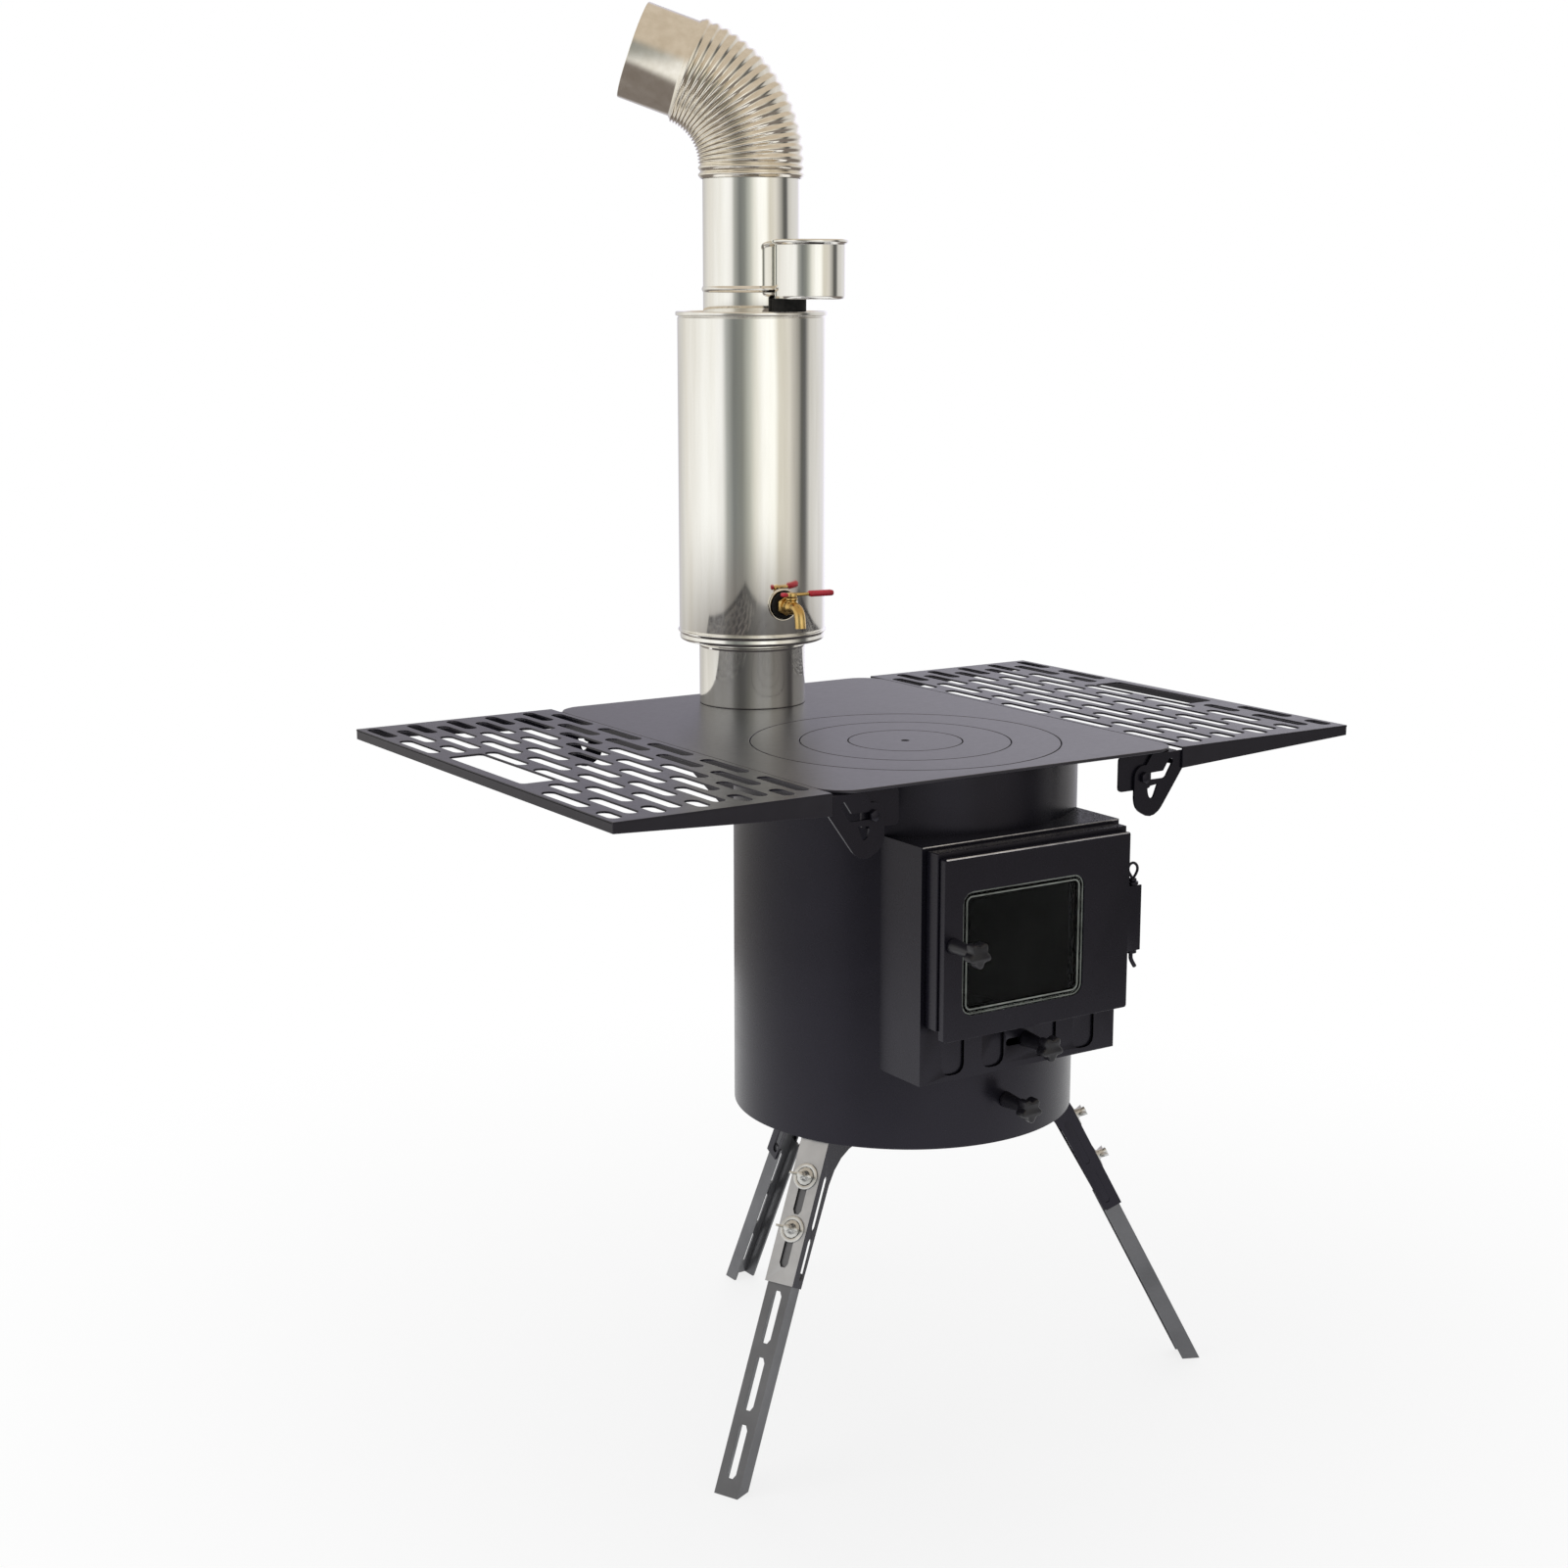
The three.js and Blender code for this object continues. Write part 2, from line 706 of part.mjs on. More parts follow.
// stepped frame that holds the glass against the inside of the door, with its four screw heads
function glassRetainer() {
  const face = -doorFront + sheet + seatGap;
  const lift = glassBack + seatGap;
  const grow = glassOverlap + seatGap;
  const corner = windowCorner + glassOverlap;
  const foot = upright(windowOutline(grow + retainerFoot, 3), face, lift + retainerThickness);
  const seat = upright(windowOutline(grow, corner), face - 1, lift, 4);
  const light = upright(windowOutline(grow - retainerGrip, corner - retainerGrip), face - 1, lift + 5, 4);
  const screwX = windowWidth / 2 + grow + retainerFoot / 2;
  const heads = [-1, 1].flatMap((side) => [-1, 1].map((level) => rodY(
    2, lift + retainerThickness - 0.5, lift + retainerThickness + 1, 10,
    windowShift + side * screwX, windowMiddle + level * windowHeight * 0.3,
  )));
  return join(cut(foot, seat, light), ...heads);
}

// flat seal inside the door's rim, outside the glass retainer
function doorGasket() {
  const half = doorWidth / 2 - sheet - 2 * seatGap;
  const inner = frameOpeningHalf - 2;
  const y0 = -frameFront - seatGap - gasketThickness;
  const y1 = -frameFront - seatGap;
  const bottom = frameBottom - 2;
  const outer = block(-half, half, y0, y1, bottom, doorTop - sheet - 2 * seatGap);
  const opening = block(-inner, inner, y0 - 1, y1 + 1, bottom + gasketBand, frameTop - frameLip - 4);
  const shaft = rodY(shaftRadius + slideGap, y0 - 1, y1 + 1, 12, latchX, latchZ);
  return cut(outer, opening, shaft);
}

painted('door_panel', doorPanel());
add('window_glass', windowGlass(), 0xbfc8c4, 0.05, 0);
zinc('glass_retainer', glassRetainer());
add('door_gasket', doorGasket(), 0x3a3835, 0.95, 0);

// the latch: shaft through the door and a cross bar that turns behind the frame's lip
function latchBar() {
  const barFront = -frameFront + sheet + 1;
  const bar = block(latchX - latchBarWidth / 2, latchX + latchBarWidth / 2, barFront, barFront + 3,
    latchZ - latchBarLength / 2, latchZ + latchBarLength / 2);
  return join(bar, rodY(shaftRadius, -doorFront - 6, barFront + 1, 12, latchX, latchZ));
}

function doorKnob() {
  const knob = starKnob(latchX, -doorFront - slideGap, latchZ);
  return cut(knob, rodY(shaftRadius + seatGap, -doorFront - 6.5, -doorFront, 12, latchX, latchZ));
}

zinc('latch_bar', latchBar());
painted('door_knob', doorKnob());

// ---- hinge ears and pin ----------------------------------------------------------------------------

const earTopLow = tabTop + slideGap;
const earBottomHigh = tabTop - tabHeight - slideGap;

function hingeEars() {
  const back = -housingFront - seatGap;
  const earOutline = new THREE.Shape();
  const inner = frameWidth / 2 + 1;
  const tip = pinRadius + 3.3;
  earOutline.moveTo(inner, back);
  earOutline.lineTo(inner, pinY);
  earOutline.absarc(pinX, pinY, tip, Math.PI, 2 * Math.PI, false);
  earOutline.lineTo(pinX + tip, back);
  const plate = block(inner, pinX + tip, back - sheet, back, earBottomHigh - earThickness, earTopLow + earThickness);
  const ears = join(
    slab(earOutline, earTopLow, earTopLow + earThickness, 5),
    slab(earOutline, earBottomHigh - earThickness, earBottomHigh, 5),
    plate,
  );
  const hole = rod(pinRadius + seatGap, earBottomHigh - 10, earTopLow + 10, 16, pinX, pinY);
  return cut(ears, hole);
}

function hingePin() {
  const shankTop = earTopLow + earThickness + 4;
  const shank = rod(pinRadius, earBottomHigh - earThickness - 5, shankTop, 12, pinX, pinY);
  const loop = new THREE.TorusGeometry(5.2, 1.3, 6, 14)
    .scale(0.8, 1.5, 1)
    .rotateX(Math.PI / 2)
    .rotateZ(0.5)
    .translate(pinX, pinY, shankTop + 6.6);
  const collar = rod(pinRadius + 1.6, earTopLow + earThickness + seatGap, earTopLow + earThickness + 3, 12,
    pinX, pinY);
  const bentTail = new THREE.CylinderGeometry(pinRadius - 0.1, pinRadius - 0.4, 12, 10)
    .rotateX(Math.PI / 2)
    .translate(0, 0, -6)
    .rotateY(0.55)
    .translate(pinX, pinY, earBottomHigh - earThickness - 4);
  return join(shank, loop, collar, bentTail);
}

painted('hinge_ears', hingeEars());
zinc('hinge_pin', hingePin());

// ---- smoke duct and flue collar --------------------------------------------------------------------

function smokeDuct() {
  const top = plateBottom - seatGap;
  const rear = plateBack - ductRearMargin;
  const front = drumRadius - 30;
  const slope = (ductFrontDepth - ductRearDepth) / (rear - front);
  const lift = sheet * Math.hypot(1, slope);
  const outer = polygon([
    [front, top],
    [rear, top],
    [rear, plateTop - ductRearDepth],
    [front, plateTop - ductFrontDepth],
  ]);
  const inner = polygon([
    [front - 1, top + 1],
    [rear - sheet, top + 1],
    [rear - sheet, plateTop - ductRearDepth + lift - slope * sheet],
    [front - 1, plateTop - ductFrontDepth + lift - slope],
  ]);
  const shell = sideways(outer, -ductWidth / 2, ductWidth / 2);
  const hollow = sideways(inner, -ductWidth / 2 + sheet, ductWidth / 2 - sheet);
  const drum = rod(drumRadius + seatGap, drumBottom, plateTop, roundSides);
  return cut(shell, hollow, drum);
}

function flueCollar() {
  const outer = sleeveRadius - pipeWall - seatGap;
  const inner = outer - 1.6;
  const flangeTop = plateBottom - seatGap;
  const profile = [
    [inner, flangeTop - sheet],
    [outer + 5, flangeTop - sheet],
    [outer + 5, flangeTop],
    [outer, flangeTop],
    [outer, plateTop + collarHeight],
    [inner, plateTop + collarHeight],
  ];
  return revolve(profile, pipeSides).translate(0, flueOffset, 0);
}

painted('smoke_duct', smokeDuct());
painted('flue_collar', flueCollar());

// ---- chimney: sleeve, water tank, upper pipe -------------------------------------------------------

const spigot = 12; // how far the tank and its smoke pipe reach into the sleeve and the upper pipe
const spigotGap = 1;

function flueSleeve() {
  const z0 = plateTop + seatGap;
  const z1 = tankBottom - seatGap;
  return tube(sleeveRadius - pipeWall, sleeveRadius, z0, z1, pipeSides, 0, flueOffset);
}

function waterTank() {
  const lowerSpigot = sleeveRadius - pipeWall - spigotGap;
  const hole = tankBoreRadius + seatGap;
  const seam = tankBottom + seamRise;
  const body = [
    [hole, tankBottom],
    [lowerSpigot - tankWall, tankBottom],
    [lowerSpigot - tankWall, tankBottom - spigot],
    [lowerSpigot, tankBottom - spigot],
    [lowerSpigot, tankBottom],
    [tankRadius - 3, tankBottom],
    [tankRadius - 0.4, tankBottom + 3],
    [tankRadius - 0.4, seam - 1.4],
    [tankRadius + seamBead, seam],
    [tankRadius, seam + 1.4],
    [tankRadius, tankTop - 5],
    [tankRadius + 2, tankTop - 3],
    [tankRadius + 2, tankTop],
    [tankRadius - 1, tankTop],
    [tankRadius - 2, tankTop - 2],
    [hole, tankTop - 2],
  ];
  const water = [
    [hole - 1, tankBottom + tankWall],
    [tankRadius - tankWall - 1, tankBottom + 4],
    [tankRadius - tankWall, tankBottom + 12],
    [tankRadius - tankWall, tankTop - 6],
    [hole - 1, tankTop - 3],
  ];
  const [neckX, neckY] = aroundFront(cupAngle, neckReach + 4);
  const filler = rod(neckRadius + seatGap, tankTop - 10, tankTop + 5, 20, neckX, neckY);
  const tapHole = rodY(tapNutRadius - 4, -tankRadius - 5, -tankRadius + 8, 16, 0, tankBottom + tapRise)
    .rotateZ(THREE.MathUtils.degToRad(tapAngle));
  const vessel = cut(revolve(body, tankSides), revolve(water, tankSides), filler, tapHole);
  return vessel.translate(0, flueOffset, 0);
}

// the pipe that carries the smoke through the middle of the tank
function smokePipe() {
  const z0 = tankBottom - spigot;
  const z1 = tankTop + spigot;
  return tube(tankBoreRadius - tankWall, tankBoreRadius, z0, z1, tankSides, 0, flueOffset);
}

function upperPipe() {
  const z0 = tankTop - 2 + seatGap;
  const z1 = upperTop + elbowCollar - 3;
  const inner = upperRadius - pipeWall;
  const bead = tankTop + beadRise;
  const profile = [
    [inner, z0],
    [upperRadius, z0],
    [upperRadius, bead - 2.5],
    [upperRadius + 1.5, bead],
    [upperRadius, bead + 2.5],
    [upperRadius, z1],
    [inner, z1],
  ];
  return revolve(profile, pipeSides).translate(0, flueOffset, 0);
}

stainless('flue_sleeve', flueSleeve());
stainless('water_tank', waterTank());
stainless('smoke_pipe', smokePipe());
stainless('upper_pipe', upperPipe());

// ---- filler cup ------------------------------------------------------------------------------------

function fillerGasket() {
  const [x, y] = aroundFront(cupAngle, neckReach);
  const z0 = tankTop - 2 + seatGap;
  const [holeX, holeY] = aroundFront(cupAngle, neckReach + 4);
  const ring = rod(gasketRadius, z0, tankTop + gasketHeight, 28, x, y + flueOffset);
  const hole = rod(neckRadius + seatGap, z0 - 1, tankTop + gasketHeight + 1, 20, holeX, holeY + flueOffset);
  const pipe = rod(upperRadius + seatGap, z0 - 1, tankTop + gasketHeight + 1, pipeSides, 0, flueOffset);
  const rim = tube(tankRadius - 2 - seatGap, tankRadius + 10, z0 - 1, tankTop + seatGap, tankSides, 0,
    flueOffset);
  return cut(ring, hole, pipe, rim);
}

function fillerCup() {
  const bottom = tankTop + gasketHeight + seatGap;
  const top = bottom + cupHeight;
  const profile = [
    [0, bottom],
    [cupRadius - 2, bottom],
    [cupRadius, bottom + 2],
    [cupRadius, top - 3],
    [cupRadius + cupBead, top - 2],
    [cupRadius + cupBead, top - 0.6],
    [cupRadius - tankWall, top],
    [cupRadius - tankWall, bottom + 3],
    [cupRadius - 3, bottom + tankWall],
    [0, bottom + tankWall],
  ];
  const cup = new THREE.LatheGeometry(profile.map(([r, h]) => new THREE.Vector2(r, h)), 20)
    .rotateX(Math.PI / 2);
  const [cupX, cupY] = aroundFront(cupAngle, cupReach);
  const [neckX, neckY] = aroundFront(cupAngle, neckReach + 4);
  const neck = rod(neckRadius, tankTop - 8, bottom + tankWall / 2, 20, neckX, neckY + flueOffset);
  const bore = rod(neckRadius - 1.2, tankTop - 9, bottom + 10, 20, neckX, neckY + flueOffset);
  return cut(join(cup.translate(cupX, cupY + flueOffset, 0), neck), bore);
}

add('filler_gasket', fillerGasket(), 0x101010, 0.8, 0);
stainless('filler_cup', fillerCup());

// ---- corrugated elbow ------------------------------------------------------------------------------

// rings of points round a centre line, skinned outside and inside and closed at both ends
function ringedTube(outerRings, innerRings, sides) {
  const positions = [];
  const indices = [];
  const addRing = ({ centre, side, lift, radius }) => {
    const first = positions.length / 3;
    for (let i = 0; i < sides; i += 1) {
      const angle = (2 * Math.PI * i) / sides;
      const point = centre.clone()
        .addScaledVector(side, radius * Math.cos(angle))
        .addScaledVector(lift, radius * Math.sin(angle));
      positions.push(point.x, point.y, point.z);
    }
    return first;
  };
  const bridge = (a, b) => {
    for (let i = 0; i < sides; i += 1) {
      const next = (i + 1) % sides;
      indices.push(a + i, a + next, b + next, a + i, b + next, b + i);
    }
  };
  const outer = outerRings.map(addRing);
  const inner = innerRings.map(addRing);
  const loop = [...outer, ...inner.reverse(), outer[0]];
  for (let i = 0; i + 1 < loop.length; i += 1) bridge(loop[i], loop[i + 1]);
  const geometry = new THREE.BufferGeometry();
  geometry.setAttribute('position', new THREE.Float32BufferAttribute(positions, 3));
  geometry.setIndex(indices);
  geometry.computeVertexNormals();
  return geometry;
}

const bendRadians = THREE.MathUtils.degToRad(elbowBend);
const bendLength = elbowRadius * bendRadians;

// the centre line: up, round the bend, then straight through the cuff
function elbowStation(distance, radius) {
  const turn = THREE.MathUtils.clamp(distance / elbowRadius, 0, bendRadians);
  const past = distance - turn * elbowRadius;
  const along = new THREE.Vector3(Math.sin(turn), 0, Math.cos(turn));
  const centre = new THREE.Vector3(elbowRadius * (1 - Math.cos(turn)), 0, elbowRadius * Math.sin(turn))
    .addScaledVector(along, past);
  const side = new THREE.Vector3(Math.cos(turn), 0, -Math.sin(turn));
  return { centre, side, lift: new THREE.Vector3(0, 1, 0), radius };
}

function elbow() {
  const pitch = bendLength / elbowRibs;
  const outer = [elbowStation(-elbowCollar, ribValley)];
  outer.push(elbowStation(-elbowCollar * 0.75, ribPeak), elbowStation(-elbowCollar / 2, ribValley));
  outer.push(elbowStation(-elbowCollar / 4, ribPeak), elbowStation(0, ribValley));
  for (let rib = 0; rib < elbowRibs; rib += 1) {
    outer.push(elbowStation((rib + 0.5) * pitch, ribPeak));
    outer.push(elbowStation((rib + 1) * pitch, ribValley));
  }
  outer.push(elbowStation(bendLength + 2, cuffRadius));
  outer.push(elbowStation(bendLength + cuffLength, cuffRadius));
  const wideBore = upperRadius / Math.cos(Math.PI / elbowSides) + seatGap;
  const bore = cuffRadius - pipeWall;
  const inner = [elbowStation(-elbowCollar, wideBore), elbowStation(-1, wideBore)];
  const boreSteps = 6;
  for (let step = 0; step <= boreSteps; step += 1) {
    inner.push(elbowStation((bendLength * step) / boreSteps, bore));
  }
  inner.push(elbowStation(bendLength + cuffLength, bore));
  return ringedTube(outer, inner, elbowSides)
    .rotateZ(THREE.MathUtils.degToRad(elbowAngle))
    .translate(0, flueOffset, upperTop + elbowCollar);
}

stainless('elbow', elbow());

// ---- tap -------------------------------------------------------------------------------------------

const tapZ = tankBottom + tapRise;

// turns a piece built as if the tap faced straight to the front
function atTap(geometry) {
  return geometry.rotateZ(THREE.MathUtils.degToRad(tapAngle)).translate(0, flueOffset, 0);
}

const tankFace = -tankRadius * Math.cos(Math.PI / (tankSides));

function tapDish() {
  const profile = [
    [tapNutRadius - 3.5, 0],
    [dishRadius - 1, 0],
    [dishRadius, 0.8],
    [dishRadius, 2.2],
    [dishRadius - 1.2, 2.2],
    [dishRadius - 2, 1.2],
    [tapNutRadius - 3.5, 1.2],
  ];
  const dish = revolve(profile, 20).rotateX(Math.PI / 2).translate(0, -tankRadius - seatGap, tapZ);
  return atTap(dish);
}

function tapWasher() {
  const profile = [[tapNutRadius - 3.5, 1.5], [washerRadius, 1.5], [washerRadius, 4.5], [tapNutRadius - 3.5, 4.5]];
  return atTap(revolve(profile, 16).rotateX(Math.PI / 2).translate(0, -tankRadius - seatGap, tapZ));
}

function tapBody() {
  const face = -tankRadius - seatGap - 4.5 - seatGap;
  const nut = new THREE.CylinderGeometry(tapNutRadius, tapNutRadius, 5, 6).translate(0, face - 2.5, tapZ);
  const thread = rodY(tapNutRadius - 4.4, face - 1, -tankRadius + 10, 12, 0, tapZ);
  const barrel = rodY(5.2, face - tapReach, face - 4, 12, 0, tapZ);
  const middle = face - tapReach + 8;
  const bonnet = rod(6, tapZ - 5, tapZ + 10, 12, 0, middle);
  const ball = new THREE.SphereGeometry(7.6, 10, 6).translate(0, middle, tapZ);
  const start = new THREE.Vector3(0, face - tapReach + 4, tapZ);
  const path = new THREE.QuadraticBezierCurve3(
    start,
    new THREE.Vector3(0, face - tapReach - 9, tapZ + 1),
    new THREE.Vector3(0, face - tapReach - 13, tapZ - 19),
  );
  const section = new THREE.Shape().absarc(0, 0, spoutRadius, 0, 2 * Math.PI, false);
  const spout = new THREE.ExtrudeGeometry(section, { steps: 5, extrudePath: path, curveSegments: 3 });
  return atTap(join(nut, cut(thread, block(-20, 20, -tankRadius + 4, 0, tapZ - 20, tapZ + 20)), barrel, bonnet, ball,
    spout));
}

const leverY = -tankRadius - seatGap - 4.5 - seatGap - tapReach + 8;

function tapLever() {
  const z0 = tapZ + 10 + seatGap;
  const boss = rod(5.5, z0, z0 + 4, 16, 0, leverY);
  const arm = block(-9, leverLength * 0.4, leverY - 3.5, leverY + 3.5, z0 + 1, z0 + 1 + leverThickness);
  const tongue = block(leverLength * 0.3, leverLength - 3, leverY - 2, leverY + 2, z0 + 1.5, z0 + 3.5);
  return atTap(join(boss, arm, tongue));
}

function tapGrip() {
  const z0 = tapZ + 10 + seatGap;
  const outline = roundedRectangle(leverLength * 0.4 + seatGap, leverLength, leverY - 4.5, leverY + 4.5, 2.5);
  const grip = slab(outline, z0 - 0.4, z0 + 5.4, 3);
  const pocket = block(0, leverLength - 3 + seatGap, leverY - 2 - seatGap, leverY + 2 + seatGap, z0 + 1.2,
    z0 + 3.8);
  return atTap(cut(grip, pocket));
}

stainless('tap_dish', tapDish());
add('tap_washer', tapWasher(), 0x14130f, 0.85, 0);
add('tap_body', tapBody(), 0xb98f3e, 0.3, 1);
add('tap_lever', tapLever(), 0xb98f3e, 0.3, 1);
add('tap_grip', tapGrip(), 0xd8283a, 0.5, 0);

// ---- shelves ---------------------------------------------------------------------------------------

const shelfOuter = shelfInner + shelfReach;
const shelfFrontY = -plateFront;
const shelfBackY = plateBack;

// slot stretches of one column, kept clear of the handle where the column meets it
function columnStretches(column, offset, handle) {
  const fieldFront = shelfFrontY + slotFrontMargin;
  const fieldBack = shelfBackY - slotRearMargin;
  const stretches = [];
  for (let start = fieldBack + offset; start > fieldFront; start -= slotPitch) {
    const high = Math.min(start, fieldBack);
    const low = Math.max(start - slotLength, fieldFront);
    const pieces = handle && column.meetsHandle
      ? [[low, Math.min(high, handle[0] - handleClear)], [Math.max(low, handle[1] + handleClear), high]]
      : [[low, high]];
    pieces.filter(([a, b]) => b - a > slotWidth + 4).forEach((piece) => stretches.push(piece));
  }
  return stretches;
}

function shelfGrille() {
  const sheetShape = new THREE.Shape([
    new THREE.Vector2(shelfInner, shelfFrontY),
    new THREE.Vector2(shelfOuter, shelfFrontY),
    new THREE.Vector2(shelfOuter, shelfBackY),
    new THREE.Vector2(shelfInner, shelfBackY),
  ]);
  const middle = (shelfFrontY + shelfBackY) / 2;
  const handle = [middle - handleLength / 2, middle + handleLength / 2];
  const handleInner = shelfOuter - handleMargin - handleWidth;
  sheetShape.holes.push(
    roundedRectangle(handleInner, shelfOuter - handleMargin, handle[0], handle[1], 5, 2, THREE.Path),
  );
  const firstColumn = shelfInner + (shelfReach - (shelfColumns - 1) * columnPitch) / 2;
  for (let i = 0; i < shelfColumns; i += 1) {
    const x = firstColumn + i * columnPitch;
    const meetsHandle = x + slotWidth / 2 > handleInner - 2;
    const offset = i % 2 === 0 ? 0 : slotLength - (slotPitch - slotLength) / 2 - slotPitch / 8;
    const offsetFromBack = i % 2 === 0 ? 0 : offset - slotWidth / 2;
    columnStretches({ meetsHandle }, offsetFromBack, handle).forEach(([low, high]) => {
      sheetShape.holes.push(stadium(x, low, high, slotWidth, THREE.Path));
    });
  }
  const top = slab(sheetShape, plateTop - sheet, plateTop, 1);
  const cheek = polygon([
    [shelfInner, plateTop - 0.5],
    [shelfInner, plateTop - flangeInnerDepth],
    [shelfOuter, plateTop - flangeOuterDepth],
    [shelfOuter, plateTop - 0.5],
  ]);
  const front = upright(cheek, shelfFrontY, shelfFrontY + sheet);
  const back = upright(cheek, shelfBackY - sheet, shelfBackY);
  const side = block(shelfOuter - sheet, shelfOuter, shelfFrontY, shelfBackY, plateTop - flangeOuterDepth,
    plateTop - 0.5);
  return join(top, front, back, side);
}

// arm outline as (x, z), with the pivot at the origin and the shelf towards +x
function armOutline() {
  const reach = pivotInset + slideGap + armOverlap;
  const top = pivotDrop - plateThickness - slideGap;
  const flangeSlope = (flangeInnerDepth - flangeOuterDepth) / shelfReach;
  const flangeAtEnd = pivotDrop - flangeInnerDepth + flangeSlope * armOverlap;
  const boss = 11.5;
  const arm = new THREE.Shape();
  arm.moveTo(-boss, -19);
  arm.quadraticCurveTo(-11, -30, -2, -34.5);
  arm.quadraticCurveTo(9, -42, 18.5, -34.5);
  arm.quadraticCurveTo(22, -31.5, 24, -28.5);
  arm.lineTo(50, pivotDrop - flangeInnerDepth + 3);
  arm.lineTo(reach, flangeAtEnd + 2);
  arm.lineTo(reach, top);
  arm.lineTo(10, top);
  arm.lineTo(3, boss);
  arm.lineTo(0, boss);
  arm.absarc(0, 0, boss, Math.PI / 2, Math.PI, false);
  return arm;
}

function armWindows() {
  const half = armSlot / 2;
  const lockSlot = new THREE.Path();
  lockSlot.absarc(0, 0, half, Math.PI / 2, 1.5 * Math.PI, false);
  lockSlot.lineTo(23.5, -half);
  lockSlot.quadraticCurveTo(27, -half, 28.6, 0.5);
  lockSlot.lineTo(35.5, 11.5);
  lockSlot.quadraticCurveTo(36, 16, 31, 15);
  lockSlot.lineTo(23.5, half + 0.6);
  lockSlot.lineTo(0, half);
  const light = new THREE.Path();
  light.moveTo(4.6, -10.5);
  light.quadraticCurveTo(4.8, -9.2, 6.5, -9.2);
  light.lineTo(17.4, -8);
  light.lineTo(12.6, -19.8);
  light.quadraticCurveTo(10.4, -22.6, 7, -19.6);
  light.quadraticCurveTo(5, -17, 4.6, -10.5);
  return [lockSlot, light];
}

function shelfArm(y0) {
  const shape = armOutline();
  shape.holes.push(...armWindows());
  return upright(shape, y0, y0 + armThickness, 4).translate(pivotX, 0, pivotZ);
}

const frontArmY = shelfFrontY + sheet + seatGap;
const rearArmY = shelfBackY - sheet - seatGap - armThickness;

// ---- fixed shelf brackets --------------------------------------------------------------------------

const bracketFrontY = frontArmY + armThickness + slideGap;
const bracketBackY = rearArmY - slideGap;

// end plates for the pivots, joined along the plate's edge by an angle rail
function shelfBracket() {
  const top = plateBottom - seatGap;
  const inner = pivotX - bracketWidth * 0.72;
  const outer = Math.max(inner + bracketWidth, drumRadius + sheet / 2);
  const endPlate = roundedRectangle(inner, outer, plateTop - bracketDepth, top, 4);
  const front = upright(endPlate, bracketFrontY, bracketFrontY + sheet);
  const back = upright(endPlate, bracketBackY - sheet, bracketBackY);
  const railOuter = plateWidth / 2 - 3;
  const strip = block(drumRadius + seatGap, railOuter, bracketFrontY, bracketBackY, top - sheet, top);
  const wall = block(railOuter - sheet, railOuter, bracketFrontY, bracketBackY, top - railDepth, top);
  const holes = [bracketFrontY, bracketBackY].map((y) => rodY(
    boltRadius + seatGap, y - 2 * sheet, y + 2 * sheet, 12, pivotX, pivotZ,
  ));
  return cut(join(front, back, strip, wall), ...holes);
}

// the front and the rear pivot bolt, each with its head and nut
function pivotBolts() {
  const hexagon = (radius, y0, y1, x, z) => new THREE.CylinderGeometry(radius, radius, y1 - y0, 6)
    .translate(x, (y0 + y1) / 2, z);
  const frontPivot = join(
    hexagon(5.5, frontArmY - seatGap - 3.5, frontArmY - seatGap, pivotX, pivotZ),
    rodY(boltRadius, frontArmY - 1, bracketFrontY + sheet + 3, 12, pivotX, pivotZ),
    hexagon(5.5, bracketFrontY + sheet + seatGap, bracketFrontY + sheet + 4, pivotX, pivotZ),
  );
  const rearEnd = rearArmY + armThickness + seatGap;
  const rearPivot = join(
    hexagon(5.5, rearEnd, rearEnd + 3.5, pivotX, pivotZ),
    rodY(boltRadius, bracketBackY - sheet - 3, rearEnd + 1, 12, pivotX, pivotZ),
    hexagon(5.5, bracketBackY - sheet - 4, bracketBackY - sheet - seatGap, pivotX, pivotZ),
  );
  return { front: frontPivot, rear: rearPivot };
}

const sides = [
  ['right', (geometry) => geometry],
  ['left', mirrored],
];
sides.forEach(([side, place]) => {
  painted(`${side}_shelf`, place(shelfGrille()));
  painted(`${side}_front_arm`, place(shelfArm(frontArmY)));
  painted(`${side}_rear_arm`, place(shelfArm(rearArmY)));
  painted(`${side}_bracket`, place(shelfBracket()));
  Object.entries(pivotBolts()).forEach(([end, bolt]) => zinc(`${side}_${end}_pivot_bolt`, place(bolt)));
});

// ---- legs ------------------------------------------------------------------------------------------

// leg frame: +X out of the leg's outer face, +Y round the drum, +Z up along the leg
function legMatrix(degrees) {
  const angle = THREE.MathUtils.degToRad(degrees);
  const radial = new THREE.Vector3(Math.sin(angle), -Math.cos(angle), 0);
  const round = new THREE.Vector3(Math.cos(angle), Math.sin(angle), 0);
  const vertical = new THREE.Vector3(0, 0, 1);
  const outward = radial.clone().multiplyScalar(Math.cos(legSlopeRadians))
    .addScaledVector(vertical, Math.sin(legSlopeRadians));
  const along = vertical.clone().multiplyScalar(Math.cos(legSlopeRadians))
    .addScaledVector(radial, -Math.sin(legSlopeRadians));
  const origin = radial.clone().multiplyScalar(legAttach);
  origin.z = drumBottom;
  return new THREE.Matrix4().makeBasis(outward, round, along).setPosition(origin);
}

// a slot through a face whose normal is the leg's +X, between two distances down the leg
function legSlot(from, to, width, x0, x1) {
  return sideways(stadium(0, -to, -from, width), x0, x1);
}

